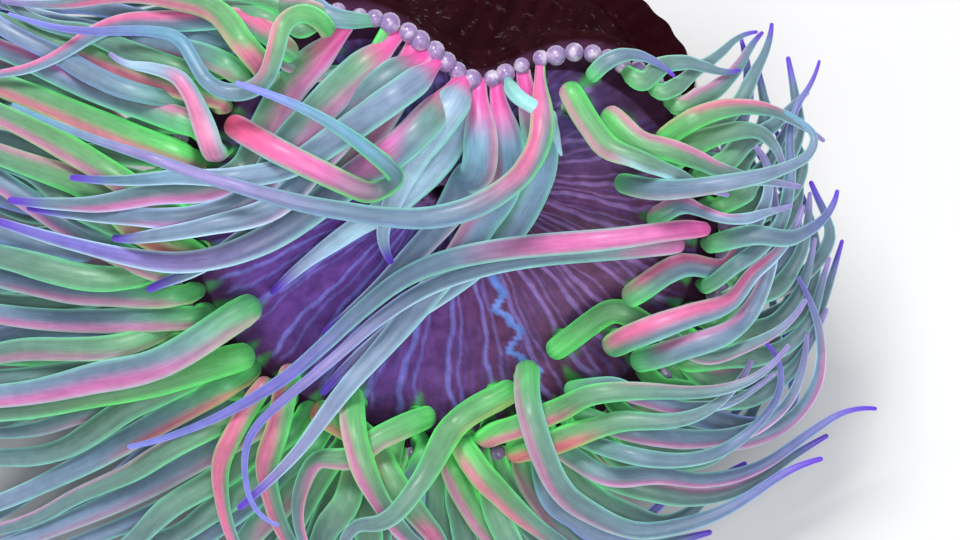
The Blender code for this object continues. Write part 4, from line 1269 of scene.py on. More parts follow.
@dataclass(frozen=True)
class BodyFinish:
    """The body's skin: banded disc with pale lines, purple margin and dark grooved column."""

    name: str = "body_flesh"
    bump: float = 0.5
    depth: float = 0.0007

    def material(self) -> Material:
        """Builds the material."""
        made, wire, shader = principled(self.name)
        stripes = wire.group(stripe_group(), Ray=wire.attribute("lie", "Vector")).outputs
        disc, line = stripes["Disc"], wire.attribute("soft", "Fac")
        grain = wire.grain(900.0, 4.0)
        stripe = wire.times(wire.times(stripes["Stripe"], disc), 0.4)
        banded = wire.mix(stripe, wire.attribute("flesh"), Hue.DUSK.rgba())
        lined = wire.mix(line, banded, wire.attribute("vein"))
        cloud = wire.span(stripes["Cloud"], 0.3, 0.7, 0.8, 1.2)
        colour = wire.gain(lined, wire.times(cloud, wire.span(grain, 0.25, 0.75, 0.88, 1.12)))
        height = wire.times(wire.plus(line, wire.times(stripe, 0.8)), disc)
        normal = wire.bump(wire.plus(height, wire.times(grain, 0.4)), self.bump, 0.0003)
        wet = wire.times(wire.span(grain, 0.62, 0.7, 0.015, 0.35), wire.math("SUBTRACT", 1.0, disc))
        gloss = wire.plus(wire.times(disc, 0.25), wet)
        soft_flesh(shader, self.depth, 0.0, Hue.LILAC)
        shader.inputs["Specular IOR Level"].default_value = 0.0
        rough = wire.span(disc, 0.0, 1.0, 0.3, 0.42)
        wire.feed(shader, Base_Color=colour, Roughness=rough, Normal=normal, Coat_Weight=gloss)
        return made


@dataclass(frozen=True)
class BeadFinish:
    """Pale lilac, glassy beads."""

    name: str = "bead_flesh"
    roughness: float = 0.22

    def material(self) -> Material:
        """Builds the material."""
        made, wire, shader = principled(self.name)
        cloud = wire.grain(700.0, 2.0)
        grey = (*(blend(Hue.LILAC.linear(), Hue.MAUVE.linear(), 0.4) * 0.8), 1.0)
        colour = wire.mix(wire.span(cloud, 0.45, 0.8, 0.05, 0.7), grey, Hue.CREAM.rgba())
        rough = wire.span(cloud, 0.2, 0.8, self.roughness, self.roughness + 0.15)
        wire.feed(shader, Base_Color=colour, Roughness=rough)
        soft_flesh(shader, 0.0016, 0.5, Hue.CREAM)
        shader.inputs["Coat Weight"].default_value = 0.5
        return made


@dataclass(frozen=True)
class FloorFinish:
    """A plain pale studio floor."""

    name: str = "studio_floor"
    colour: tuple[float, float, float] = (0.78, 0.78, 0.79)

    def material(self) -> Material:
        """Builds the material."""
        made, _, shader = principled(self.name)
        shader.inputs["Base Color"].default_value = (*self.colour, 1.0)
        shader.inputs["Roughness"].default_value = 0.85
        return made


# --------------------------------------------------------------------------------- pieces
@dataclass
class Body:
    """The whole body as one skin: throat, lips, banded disc, margin, column and foot.

    roots are the points where the tentacles grow from the disc. A pale line runs to each from the
    mouth, and ends in its green glow. lips, rim and sole are rings, each a share of its radius and a
    height. line_kinds are where a line lies between two roots, its half width and its strength.
    """

    roots: Array
    sides: int = 600
    disc_rings: int = 64
    column_rings: int = 26
    disc_share: float = 0.87
    disc_sink: float = 0.2
    foot_radius: float = 26.0
    foot_height: float = 5.0
    waist_radius: float = 20.5
    thickness: float = 9.3
    pleats: int = 36
    pleat_depth: float = 0.3
    seam_angle: float = math.radians(-66)
    seam_width: float = 0.4
    glow_reach: float = 7.5
    glow_width: float = 1.9
    line_spacing: float = math.radians(7.5)
    line_kinds: tuple[tuple[float, float, float], ...] = ((0.0, 0.42, 0.85), (0.52, 0.26, 0.55))
    lips: tuple[tuple[float, float], ...] = (
        (0.05, -3.2), (0.16, -3.0), (0.28, -2.2), (0.36, -1.2), (0.42, -0.2), (0.48, 0.6), (0.56, 1.1),
        (0.66, 1.3), (0.76, 1.22), (0.84, 1.0), (0.90, 0.6), (0.95, 0.2),
    )
    rim: tuple[tuple[float, float], ...] = (
        (0.885, -0.15), (0.905, -0.05), (0.93, 0.0), (0.955, -0.05), (0.975, -0.35), (0.99, -0.95),
        (1.0, -1.8), (1.003, -3.0), (1.0, -4.4), (0.985, -6.0), (0.955, -7.6), (0.92, -8.7), (0.87, -9.2),
    )
    sole: tuple[tuple[float, float], ...] = (
        (0.815, 4.7), (0.86, 4.1), (0.905, 3.3), (0.945, 2.6), (0.98, 1.9), (1.0, 1.1), (0.995, 0.5),
        (0.97, 0.0), (0.6, 0.0), (0.1, 0.0),
    )

    def __post_init__(self) -> None:
        """Sets the angles round the body, and starts with no rings."""
        self.turns = np.linspace(0, 2 * math.pi, self.sides, endpoint=False)
        self.cos, self.sin = np.cos(self.turns), np.sin(self.turns)
        self.layers: list[tuple[Array, ...]] = []

    def mouth_ring(self, size: float, height: float) -> Array:
        """A puckered ring of the mouth: size as a share of its oval, height over the disc's middle."""
        pucker = 1 + 0.07 * np.sin(self.turns * 17) * ease(0.3, 0.6, size)
        slit = 0.55 + 0.45 * ease(0.2, 0.8, size)
        flat = np.outer(CROWN.mouth_half_length * size * pucker * self.cos, CROWN.across)
        rise = CROWN.mouth_shift + CROWN.mouth_half_width * size * pucker * slit * self.sin
        return CROWN.centre + flat + np.outer(rise, CROWN.uphill) + CROWN.facing * (height - CROWN.dish_depth)

    def disc_ring(self, step: float) -> Array:
        """A ring of the disc, step of the way from the mouth to the margin."""
        points = self.mouth_ring(1.0, CROWN.dish_depth) * (1 - step)
        points = points + SHOWN.ring(self.turns, self.disc_share, 0.0) * step
        u, v, _ = CROWN.place(points)
        lift = CROWN.dish(CROWN.edge_share(u, v)) - self.disc_sink
        return points + lift[:, None] * CROWN.facing

    def column_ring(self, level: float) -> Array:
        """A pleated ring of the column, from 0 at the foot to 1 under the crown."""
        bend = level * level * (3 - 2 * level)
        lean = math.radians(CROWN.lean) * bend
        top = CROWN.centre - CROWN.facing * self.thickness
        base = np.array([0, 0, self.foot_height])
        middle = base * (1 - bend) + top * bend
        middle[2] = base[2] + (top[2] - base[2]) * level
        foot, crown = self.foot_radius * 0.79, (CROWN.half_width * 0.80, CROWN.half_depth * 0.80)
        width, depth = (np.interp(level, (0, 0.45, 1), (foot, self.waist_radius, end)) for end in crown)
        edge = 1 + SHOWN.outline(self.turns) * bend
        wander = np.sin(self.turns * 5 + level * 4) * 0.6
        pleat = np.abs(np.sin(self.turns * self.pleats / 2 + wander)) ** 0.7 - 0.7
        fold = np.sin(level * 46 + np.sin(self.turns * 3) * 1.6) * 0.12
        proud = (pleat * self.pleat_depth + fold) * math.sin(math.pi * min(1.0, 0.12 + level * 0.88))
        edge = edge + proud / width
        across = np.outer(width * edge * self.cos, CROWN.across)
        return middle + across + np.outer(depth * edge * self.sin, [0, math.cos(lean), math.sin(lean)])

    def sole_ring(self, share: float, height: float) -> Array:
        """A ring of the foot, nearly round with a few soft lobes."""
        lobes = 1 + 0.045 * np.sin(5 * self.turns + 0.6) + 0.03 * np.sin(3 * self.turns)
        lobes = 1 + (lobes - 1) * ease(0.79, 0.9, share)
        frill = 1 + 0.006 * np.sin(self.turns * 40) * ease(0.85, 0.97, share) * (height > 0)
        reach = self.foot_radius * share * lobes * frill
        return np.column_stack([reach * self.cos, reach * self.sin, np.full(self.sides, height)])

    def lines(self, disc: Array, steps: Array) -> Array:
        """How much of a pale line lies on each point of the disc.

        Args:
            disc: The disc's rings.
            steps: Each ring's share of the way from the mouth to the margin.

        Returns:
            A weight for each ring and side.
        """
        inner = disc[: int(len(disc) * 0.97)]
        away = np.linalg.norm(inner[None] - self.roots[:, None, None], axis=-1).reshape(len(self.roots), -1)
        angles = self.turns[away.argmin(axis=1) % self.sides]
        chosen: list[float] = []
        for angle in np.concatenate([angles, np.linspace(0, 2 * math.pi, 90)]):
            if all(abs(turn_between(angle, other)) > self.line_spacing for other in chosen):
                chosen.append(float(angle))
        chance = random.Random(3)
        weight = np.zeros(disc.shape[:2])
        reach = np.linalg.norm(disc - self.mouth_ring(0.3, 0).mean(axis=0), axis=-1)
        for k, angle in enumerate(chosen):
            for between, width, strength in self.line_kinds:
                a, b, c, d = (chance.uniform(0.8, 1.2) for _ in range(4))
                wave = 0.012 * np.sin(steps * 16 * a + k * 2.1) + 0.005 * np.sin(steps * 43 * b + k)
                wave = wave + 0.02 * np.sin(steps * 6 * c)
                middle = self.turns[None] - angle - self.line_spacing * between * d
                aside = turn_between(middle, wave[:, None]) * reach
                half = width * d * (0.45 + 0.75 * steps) * (1 + 0.1 * np.sin(steps * 31 * a + k))
                here = (1 - ease(0.65, 1.35, np.abs(aside) / half[:, None])) * strength
                weight = np.maximum(weight, here * ease(0.0, 0.12, steps)[:, None])
        return weight

    def glow(self, points: Array) -> Array:
        """How much of the tentacles' green glow lies on points: a spear from each root inwards."""
        weight = np.zeros(points.shape[:-1])
        for root in self.roots:
            inward = CROWN.inward(root)
            away = points - root
            ahead = away @ inward
            aside = np.linalg.norm(away - ahead[..., None] * inward, axis=-1)
            half = self.glow_width * np.clip(1 - ahead / self.glow_reach, 0.0, 1.0) ** 1.3 + 1e-3
            spear = (1 - ease(0.15, 1.1, aside / half)) * ease(-3.0, 0.0, ahead)
            weight = np.maximum(weight, spear * (1 - ease(0.55, 1.0, ahead / self.glow_reach) * 0.6))
        return weight

    def seam(self, points: Array, step: float) -> Array:
        """How much of the bright zigzag line lies on each point of a disc ring."""
        aside = 0.035 * math.asin(math.sin(step * 34)) + 0.02 * math.sin(step * 71 + 1)
        offset = turn_between(self.turns - self.seam_angle, aside)
        reach = np.linalg.norm(points - CROWN.centre, axis=1)
        window = ease(0.25, 0.4, step) * (1 - ease(0.9, 1.0, step))
        return window * (1 - ease(0.6, 1.6, np.abs(offset) * reach / self.seam_width))

    def lay(
        self,
        points: Array,
        colour: Array,
        step: float,
        vein: Array | None = None,
        mask: Array | float = 0.0,
    ) -> None:
        """Keeps one ring of the skin.

        Args:
            points: The ring's points.
            colour: One linear colour, or one for each point.
            step: How far out on the body it is: 0 in the mouth, 1 at the disc's edge and more beyond.
            vein: Colour of the lines that cross it.
            mask: How much of a line there is.
        """
        vein = colour if vein is None else vein
        lie = np.column_stack([self.cos, self.sin, np.full(self.sides, step)])
        colour, vein = np.broadcast_to(colour, points.shape), np.broadcast_to(vein, points.shape)
        self.layers.append((points, colour, lie, np.broadcast_to(mask, self.turns.shape), vein))

    def lay_disc(self) -> None:
        """Lays the banded disc, with its pale lines, its bright seam, the tentacles' glow and painted shade
        near its margin.
        """
        dark = blend(Hue.PLUM.linear(1.7), Hue.WINE.linear(1.7), ease(-0.5, 0.45, self.cos))
        dark = blend(dark, Hue.LAVENDER.linear(0.8), ease(0.1, 0.9, self.sin) * 0.6)
        pale = blend(Hue.LAVENDER.linear(1.4), Hue.MAUVE.linear(), ease(-0.2, 1.0, self.cos) * 0.8)
        bright = Hue.ICE.linear() * np.array([0.4, 0.46, 1.0])
        steps = np.linspace(0.02, 1.0, self.disc_rings)
        disc = np.array([self.disc_ring(step) for step in steps])
        for step, points, lines, glow in zip(steps, disc, self.lines(disc, steps), self.glow(disc)):
            near = 1 - ease(0.0, 0.14, step)
            colour = dark * (1 - near) + Hue.MAUVE.linear(0.7) * near
            # Painted shade: the disc darkens towards its margin, among the tentacles' bases.
            colour = blend(colour, Hue.WINE.linear(0.8), ease(0.78, 1.0, step) * 0.8)
            colour = blend(colour, Hue.FRESH.linear(0.75), glow * 0.9)
            seam = self.seam(points, step)
            vein = blend(blend(pale, Hue.MINT.linear(0.8), glow), bright, seam)
            mask = np.maximum(lines * (1 - ease(0.9, 0.96, step)), seam)
            self.lay(points, blend(colour, bright, seam), step, vein, mask)

    def build(self) -> Object:
        """Builds the skin from the bottom of the throat, outwards and down to the sole."""
        for size, height in self.lips:
            # Painted shade: the throat darkens towards its narrow bottom, deep in the mouth.
            lip = blend(Hue.WINE.linear(0.3), Hue.MAUVE.linear(0.8), ease(0.42, 0.7, size))
            self.lay(self.mouth_ring(size, height), lip, 0.0)
        self.lay_disc()
        bark = Hue.BARK.linear()
        for share, height in self.rim:
            # The margin's inner part, among the tentacle bases, is darker as painted shade; down its outside
            # it turns to the column's own colour.
            out = ease(0.93, 1.0, share) if height > -5 else 1.0 - (-height - 5) / 4.2
            colour = blend(Hue.WINE.linear(0.4), Hue.WINE.linear(0.8), out)
            colour = blend(colour, bark, ease(-1.0, -3.0, height))
            self.lay(SHOWN.ring(self.turns, share, height), colour, 1.1)
        for level in np.linspace(0.97, 0.03, self.column_rings):
            self.lay(self.column_ring(level), bark, 1.2)
        for share, height in self.sole:
            self.lay(self.sole_ring(share, height), bark, 1.3)
        skin = Skin()
        skin.sleeve(*(np.array(part) for part in zip(*self.layers)))
        return skin.finish("body_skin", BodyFinish().material())


@dataclass
class Acrorhagi:
    """The stinging beads round the outside of the margin."""

    radius: float = 1.3
    spacing: float = 2.2
    share: float = 0.985
    height: float = 0.1
    segments: int = 14

    def build(self) -> Object:
        """Builds the ring of beads, nearly evenly spaced along the margin."""
        fine = np.linspace(0, 360, 1441)
        points = np.array([SHOWN.point(self.share, angle, self.height) for angle in fine])
        run = np.concatenate([[0], np.cumsum(np.linalg.norm(np.diff(points, axis=0), axis=1))])
        count = int(run[-1] / self.spacing)
        chance = random.Random(5)
        beads = Skin()
        for k in range(count):
            place = (k + chance.uniform(-0.12, 0.12)) * run[-1] / count
            share = self.share + chance.uniform(-0.012, 0.008)
            centre = SHOWN.point(share, float(np.interp(place, run, fine)), self.height)
            size = self.radius * chance.uniform(0.8, 1.08)
            bead = bmesh.new()
            rings = self.segments * 2 // 3
            bmesh.ops.create_uvsphere(bead, u_segments=self.segments, v_segments=rings, radius=size * METRES)
            bmesh.ops.translate(bead, vec=Vector(centre * METRES), verts=bead.verts)
            beads.add(bead)
        return beads.finish("margin_beads", BeadFinish().material())


# The understory: angle round the crown, heading at elbow and tip, length, width and step to the next.
UNDERSTORY = [
    (103, 185, 175, 34, 2.2, 3.0),
    (116, 172, 168, 44, 2.3, 3.0),
    (130, 165, 168, 52, 2.4, 3.0),
    (150, 164, 160, 56, 2.8, 3.0),
    (180, 178, 172, 58, 3.0, 3.2),
    (205, 192, 184, 58, 3.0, 3.4),
    (235, 222, 200, 52, 3.1, 3.6),
    (255, 262, 310, 40, 3.4, 4.0),
    (280, 300, 0, 34, 3.4, 4.4),
    (300, 325, 50, 32, 3.1, 4.6),
    (330, 350, 100, 28, 2.8, 5.0),
    (360, 20, 130, 24, 2.6, 6.0),
    (392, 30, 90, 18, 2.4, 6.0),
    (416, 15, 345, 16, 2.3, 5.0),
]


def understory() -> list[Tentacle]:
    """The many thinner tentacles that fill the gaps between and under the others."""
    chance = random.Random(29)
    angles, starts, ends, lengths, widths, gaps = columns(UNDERSTORY)
    grown: list[Tentacle] = []
    angle = angles[0]
    while angle < angles[-1]:
        start, end = np.interp(angle, angles, starts), np.interp(angle, angles, ends)
        first, second, third = (chance.uniform(-22, 22) for _ in range(3))
        headings = (start, start + first, (start + end) / 2 + second, end + third, end - first)
        length = np.interp(angle, angles, lengths) * chance.uniform(0.75, 1.12)
        width = np.interp(angle, angles, widths) * chance.uniform(0.85, 1.1)
        share = chance.choice((0.955, 0.97, 0.985))
        grown.append(Tentacle(f"under_{len(grown) + 1:02d}", angle, share, length, width, headings))
        angle += np.interp(angle, angles, gaps) * chance.uniform(0.75, 1.25)
    return grown


@dataclass
class Tentacles:
    """All the tentacles, settled together and then dressed in groups.

    Those of the understory take one of lower_looks in turn, and coarser rings.
    """

    looks: dict[str, Look]
    lower_looks: Sequence[Look]
    flesh: Material
    limits: tuple[tuple[float, float], tuple[float, float]]
    groups: tuple[str, ...] = ("under", "outer", "left", "front", "right", "back", "over")
    lower_rounds: int = 260
    lower_sides: int = 14
    lower_spacing: float = 1.3

    def settle(self) -> None:
        """Eases the crowd apart exactly as in the solids, and then the understory round it."""
        courses = [Course(tentacle) for tentacle in all_tentacles()]
        first = Crowd(courses)
        first.settle()
        first.thin()
        self.courses = courses + [Course(tentacle) for tentacle in understory()]
        self.crowd = Crowd(self.courses, first.points, first.radii, self.limits, rounds=self.lower_rounds)
        self.crowd.settle()
        self.crowd.radii[: len(first.radii)] = first.radii
        log.info("settled %d tentacles", len(self.courses))

    def limb(self, i: int) -> Limb:
        """One of the tentacles, with its own look or its group's, ready to be given its skin."""
        name = self.courses[i].tentacle.name
        group, mark = name.split("_")
        place = (self.courses[i], self.crowd.points[i], self.crowd.radii[i])
        if group == "under":
            look = self.lower_looks[int(mark) % len(self.lower_looks)]
            return Limb(*place, look, i, self.lower_sides, self.lower_spacing)
        return Limb(*place, self.looks.get(name, self.looks[group]), i)

    def roots(self) -> Array:
        """Where the tentacles that stand on the disc grow from it."""
        limbs = (self.limb(i) for i in range(len(self.courses)))
        return np.array([limb.root() for limb in limbs if not limb.look.from_rim])

    def build(self, group: str) -> Object:
        """Builds one group of tentacles as one skin."""
        skin = Skin()
        for i, course in enumerate(self.courses):
            if course.tentacle.name.startswith(group):
                self.limb(i).add_to(skin)
        return skin.finish(f"tentacles_{group}", self.flesh)


# Plan directions that a flushed side can face, in degrees, and the looks of the groups.
LEFTWARDS, RIGHTWARDS, UPWARDS, DOWNWARDS = 180.0, 0.0, 90.0, 270.0
GREEN = Look(shades("sage slate mist mist"), shades("fresh mint mint ice teal"))
BRIGHT = Look(shades("leaf meadow sage mist"), shades("fresh fresh mint ice"))
DEEP = Look(shades("meadow sage slate"), shades("fresh mint teal"), glow=0.5)
COOL = Look(shades("sage slate lavender"), shades("mint mint periwinkle"), tip=Hue.VIOLET, tip_from=0.85)
PALE = Look(
    back=shades("teal mist mist lilac"), edge=shades("mint mint ice ice"), glow=0.0, base=0.1,
    tip=Hue.VIOLET, tip_from=0.86, neck=0.5, neck_reach=0.12, from_rim=0.955, gather=0.75, girth=1.36,
)
RIBBON = Look(
    back=shades("slate slate mist lilac lavender lavender"),
    edge=shades("mint mint ice periwinkle periwinkle"), tip=Hue.PERIWINKLE, tip_from=0.76,
)


def flushed(look: Look, *flushes: Blush, **changes: object) -> Look:
    """A look with flushes, and with any other changes."""
    return replace(look, flushes=flushes, **changes)


def below(end: float = 0.5, hue: Hue = Hue.ROSE, reach: float = 0.36, towards: float = 250.0) -> Blush:
    """A flush along the side that faces down the crown."""
    return Blush(towards, reach, 0.0, end, hue)


LOW = replace(DEEP, from_rim=0.97, neck=0.75, girth=1.1, tip=Hue.VIOLET, tip_from=0.84)
LOWER_LOOKS = (
    LOW,
    flushed(LOW, below(0.6, Hue.ROSE, 0.3)),
    replace(LOW, back=shades("slate mist lavender"), edge=shades("teal periwinkle periwinkle")),
    LOW,
    flushed(LOW, Blush(UPWARDS, 0.3, 0.1, 0.8, Hue.PINK, 0.8)),
    replace(LOW, back=shades("meadow sage slate"), edge=shades("fresh mint mint")),
)
LOOKS = {
    "outer": DEEP,
    "left": GREEN,
    "front": BRIGHT,
    "right": COOL,
    "back": PALE,
    "over": RIBBON,
    "left_1": flushed(GREEN, Blush(200, 0.8, 0.0, 0.6, Hue.SALMON, 0.7), back=shades("cream mist ice")),
    "left_4": flushed(BRIGHT, Blush(DOWNWARDS, 0.5, 0.1, 0.8, Hue.SALMON)),
    "left_4b": flushed(GREEN, Blush(DOWNWARDS, 0.4, 0.1, 0.8, Hue.ROSE)),
    "left_4c": flushed(GREEN, Blush(UPWARDS, 0.6, 0.1, 0.9, Hue.SALMON)),
    "left_5": flushed(BRIGHT, below(0.8, Hue.PINK, 0.42)),
    "left_6": flushed(
        BRIGHT, below(0.2, Hue.CORAL, 0.5, 300.0), Blush(UPWARDS, 0.3, 0.25, 1.0, Hue.PINK, 0.7),
    ),
    "left_7": flushed(GREEN, below(0.7, Hue.PINK)),
    "left_9": flushed(GREEN, below(0.95, Hue.PINK, 0.4)),
    "left_10": BRIGHT,
    "left_11": flushed(GREEN, below(0.4, Hue.ROSE)),
    "left_12": flushed(GREEN, below(0.6, Hue.PINK)),
    "left_13": flushed(BRIGHT, below(0.25, Hue.PINK)),
    "left_a": flushed(BRIGHT, below(0.5, Hue.SALMON, 0.45)),
    "left_b": flushed(GREEN, Blush(UPWARDS, 0.4, 0.0, 0.7, Hue.PINK)),
    "left_c": flushed(BRIGHT, below(0.4, Hue.SALMON, 0.5)),
    "left_15": flushed(GREEN, below(0.3, Hue.CORAL, 0.3, 280.0)),
    "left_16": flushed(GREEN, below(0.6, Hue.ROSE, 0.25)),
    "front_14": flushed(BRIGHT, Blush(LEFTWARDS, 0.75, 0.0, 0.75, Hue.SALMON), glow=0.6),
    "front_15": flushed(BRIGHT, Blush(LEFTWARDS, 0.6, 0.0, 0.7, Hue.SALMON), glow=0.6),
    "front_13": flushed(
        BRIGHT, Blush(200, 0.5, 0.0, 0.25, Hue.CORAL), Blush(DOWNWARDS, 0.4, 0.5, 0.9, Hue.SALMON),
    ),
    "front_8": flushed(BRIGHT, Blush(215, 0.45, 0.15, 0.8, Hue.PINK), tip=Hue.CREAM, tip_from=0.86),
    "front_9": flushed(
        BRIGHT, Blush(DOWNWARDS, 0.3, 0.2, 0.6, Hue.PINK), Blush(RIGHTWARDS, 0.35, 0.6, 1.0, Hue.SALMON),
    ),
    "front_7": flushed(BRIGHT, Blush(330, 0.25, 0.0, 0.25, Hue.CORAL, 0.6)),
    "front_10": flushed(BRIGHT, Blush(210, 0.5, 0.1, 0.6, Hue.SALMON)),
    "front_11": flushed(GREEN, Blush(RIGHTWARDS, 0.6, 0.3, 1.0, Hue.PINK)),
    "front_12": flushed(BRIGHT, Blush(220, 0.4, 0.0, 0.7, Hue.PINK)),
    "front_6": flushed(COOL, Blush(210, 0.4, 0.1, 0.5, Hue.ROSE), back=shades("meadow sage slate lavender")),
    "right_1": flushed(BRIGHT, Blush(DOWNWARDS, 0.3, 0.5, 0.9, Hue.ROSE)),
    "right_2": flushed(GREEN, Blush(DOWNWARDS, 0.35, 0.1, 0.6, Hue.PINK)),
    "right_3": flushed(
        BRIGHT, Blush(300, 0.5, 0.02, 0.3, Hue.SALMON), Blush(UPWARDS, 0.25, 0.5, 1.0, Hue.ROSE),
    ),
    "right_4": flushed(BRIGHT, Blush(280, 0.5, 0.0, 0.35, Hue.CORAL)),
    "right_5": flushed(COOL, Blush(DOWNWARDS, 0.3, 0.1, 0.7, Hue.PINK)),
    "right_6": flushed(
        GREEN, Blush(DOWNWARDS, 0.2, 0.15, 0.5, Hue.ROSE, 0.6), edge=shades("fresh mint mint mint teal"),
        tip=Hue.TEAL, girth=0.84, rounding=6, stretch=1.45,
    ),
    "right_7": flushed(GREEN, Blush(UPWARDS, 0.4, 0.0, 0.6, Hue.PINK)),
    "right_9": flushed(
        BRIGHT, Blush(200, 0.35, 0.0, 0.45, Hue.PINK), Blush(220, 0.4, 0.45, 1.0, Hue.ICE), glow=0.6,
    ),
    "right_10": flushed(BRIGHT, Blush(60, 0.4, 0.0, 0.6, Hue.PINK), glow=0.6),
    "right_11": flushed(GREEN, Blush(110, 0.5, 0.1, 0.7, Hue.SALMON)),
    "right_12": flushed(GREEN, Blush(110, 0.7, 0.1, 0.8, Hue.SALMON)),
    "right_13": flushed(GREEN, Blush(120, 0.4, 0.2, 0.8, Hue.ROSE)),
    "right_15": flushed(BRIGHT, Blush(70, 0.4, 0.0, 0.7, Hue.SALMON)),
    "right_16": flushed(BRIGHT, Blush(40, 0.3, 0.0, 0.5, Hue.PINK)),
    "right_19": flushed(GREEN, Blush(DOWNWARDS, 0.3, 0.2, 0.8, Hue.PINK)),
    "right_20": flushed(GREEN, Blush(320, 0.4, 0.1, 0.8, Hue.ROSE), tip=Hue.LAVENDER),
    "back_2": flushed(PALE, Blush(LEFTWARDS, 0.2, 0.1, 0.4, Hue.MINT), back=shades("mist ice ice lilac")),
    "back_3": replace(PALE, back=shades("mist ice mist")),
    "back_4": flushed(PALE, Blush(RIGHTWARDS, 0.3, 0.1, 0.6, Hue.SALMON, 0.7)),
    "back_5": flushed(PALE, Blush(LEFTWARDS, 0.26, 0.05, 0.45, Hue.SALMON, 0.7)),
    "back_6": flushed(PALE, Blush(LEFTWARDS, 0.3, 0.05, 0.4, Hue.MEADOW)),
    "back_7": replace(
        PALE, back=shades("mint ice"), edge=shades("mint ice cream"),
        tip=Hue.ICE, gather=1.0, base=0.0, girth=0.6,
    ),
    "back_8": replace(PALE, back=shades("mist mist teal")),
    "back_9": flushed(PALE, Blush(DOWNWARDS, 0.32, 0.05, 0.6, Hue.PINK, 0.7), back=shades("sage slate mist")),
    "back_10": flushed(
        PALE, Blush(DOWNWARDS, 0.38, 0.05, 0.7, Hue.PINK, 0.7), back=shades("meadow slate slate"),
    ),
    "back_11": flushed(
        PALE, Blush(DOWNWARDS, 0.35, 0.05, 0.6, Hue.PINK, 0.7), back=shades("meadow sage slate"),
    ),
    "back_12": flushed(
        PALE, Blush(DOWNWARDS, 0.42, 0.05, 0.8, Hue.PINK, 0.8), back=shades("meadow sage slate"),
    ),
    "back_13": flushed(
        PALE, Blush(LEFTWARDS, 0.42, 0.02, 0.3, Hue.PINK),
        back=shades("meadow slate slate lilac lavender lavender"),
    ),
    "over_1": flushed(
        RIBBON, Blush(LEFTWARDS, 0.62, 0.04, 0.26, Hue.SALMON), Blush(DOWNWARDS, 0.2, 0.3, 0.6, Hue.LAVENDER),
        back=shades("pink sage slate slate lilac lilac slate"),
        edge=shades("fresh fresh mint mint teal teal teal"),
        tip=Hue.TEAL, glow=0.0, neck=0.5, neck_reach=0.13, from_rim=0.955, girth=0.76,
    ),
    "over_2": flushed(
        RIBBON, Blush(DOWNWARDS, 0.4, 0.0, 0.12, Hue.PINK),
        back=shades("pink sage slate slate lilac lavender lavender"), glow=0.0,
    ),
    "over_3": replace(
        RIBBON, back=shades("magenta rose rose slate slate lavender lavender lavender"),
        edge=shades("magenta mint mint mint periwinkle periwinkle"),
        glow=0.0, neck=0.4, neck_reach=0.1, girth=0.86,
    ),
    "over_4": replace(
        RIBBON, back=shades("coral salmon rose sage teal teal lavender"),
        edge=shades("pink mint fresh fresh mint periwinkle"), glow=0.0, rounding=36,
    ),
    "over_5": flushed(
        RIBBON, Blush(LEFTWARDS, 0.4, 0.0, 0.3, Hue.SALMON),
        back=shades("meadow meadow slate teal lavender lavender"),
        edge=shades("fresh mint teal periwinkle periwinkle"),
    ),
}


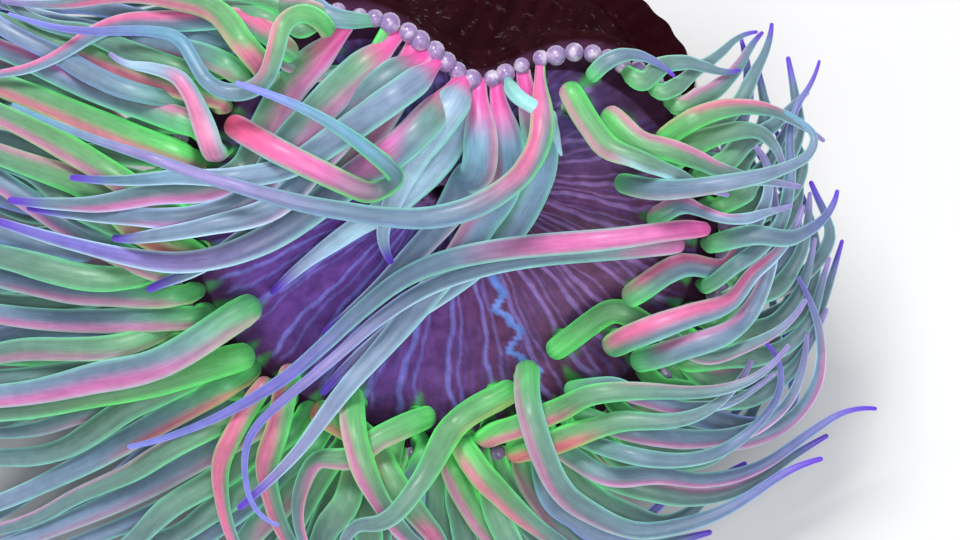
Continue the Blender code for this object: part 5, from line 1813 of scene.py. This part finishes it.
@dataclass
class Studio:
    """A plain pale floor, soft lights and the camera over the crown.

    lamps are each a name, a place, a size, a power in watts and a tint.
    """

    lens: float = 150.0
    sensor: float = 36.0
    distance: float = 0.52
    elevation: float = math.radians(86)
    aim_across: float = 4.3
    aim_up: float = -3.9
    floor_size: float = 1.6
    sky: tuple[float, ...] = (0.85, 0.9, 1.0, 1.0)
    sky_strength: float = 0.1
    lamps: tuple[tuple, ...] = (
        ("key", (-0.14, 0.36, 0.62), 0.2, 4.2, (1.0, 0.98, 0.96)),
        ("top", (0.1, -0.15, 0.8), 0.4, 3.2, (0.96, 0.98, 1.0)),
        ("fill", (0.55, -0.35, 0.4), 0.5, 1.4, (0.92, 0.96, 1.0)),
        ("front", (-0.4, -0.55, 0.4), 0.5, 1.2, (0.96, 0.98, 1.0)),
    )

    def floor(self) -> Object:
        """Builds the floor."""
        shape = bmesh.new()
        bmesh.ops.create_grid(shape, x_segments=1, y_segments=1, size=self.floor_size)
        floor = Skin()
        floor.add(shape)
        return floor.finish("floor", FloorFinish().material())

    def lights(self) -> None:
        """Adds square area lights that face the crown, and the pale surroundings."""
        for name, place, size, watts, tint in self.lamps:
            light = bpy.data.lights.new(name, "AREA")
            light.shape, light.size, light.energy, light.color = "SQUARE", size, watts, tint
            lamp = bpy.data.objects.new(name, light)
            lamp.location = place
            way = Vector(CROWN.centre * METRES) - lamp.location
            lamp.rotation_euler = way.to_track_quat("-Z", "Y").to_euler()
            bpy.context.scene.collection.objects.link(lamp)
        world = bpy.context.scene.world or bpy.data.worlds.new("studio")
        bpy.context.scene.world = world
        world.use_nodes = True
        background = world.node_tree.nodes["Background"]
        background.inputs["Color"].default_value = self.sky
        background.inputs["Strength"].default_value = self.sky_strength
        bpy.context.scene.view_settings.view_transform = "Standard"

    def camera(self) -> None:
        """Places the camera nearly straight over the crown."""
        back = Vector((0.0, -math.cos(self.elevation), math.sin(self.elevation)))
        up = Vector((0.0, math.sin(self.elevation), math.cos(self.elevation)))
        aside = Vector((self.aim_across * METRES, 0, 0))
        target = Vector(CROWN.centre) * METRES + aside + up * self.aim_up * METRES
        eye = bpy.data.cameras.new("camera")
        eye.lens, eye.sensor_width = self.lens, self.sensor
        eye.clip_start, eye.clip_end = 0.01, 10.0
        thing = bpy.data.objects.new("camera", eye)
        thing.location = target + back * self.distance
        thing.rotation_euler = (-back).to_track_quat("-Z", "Y").to_euler()
        bpy.context.scene.collection.objects.link(thing)
        bpy.context.scene.camera = thing


def placed(piece: Object, nodes: Sequence[str]) -> None:
    """Says what a piece rides on and which solids it stands for, and hides those solids.

    Args:
        piece: The finished piece.
        nodes: Names of the solids that it replaces.
    """
    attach(piece, "root")
    if nodes:
        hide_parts(*nodes)
    log.info("%s: %d faces, for %d solids", piece.name, len(piece.data.polygons), len(nodes))


def main() -> None:
    """Builds the studio, the body, its beads and its tentacles."""
    logging.basicConfig(level=logging.INFO, format="%(name)s: %(message)s")
    low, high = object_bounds()
    studio = Studio()
    studio.camera()
    studio.lights()
    studio.floor()
    solids = sorted(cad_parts)
    trunk = [name for name in solids if name.startswith(("foot", "column", "oral_disc", "mouth", "margin"))]
    limits = ((low.x / METRES, low.y / METRES), (high.x / METRES, high.y / METRES))
    tentacles = Tentacles(LOOKS, LOWER_LOOKS, FleshFinish().material(), limits)
    tentacles.settle()
    placed(Body(tentacles.roots()).build(), trunk)
    placed(Acrorhagi().build(), [])
    for group in tentacles.groups:
        free = [name for name in solids if name.startswith(group + "_")]
        placed(tentacles.build(group), free)


if __name__ == "__main__":
    main()
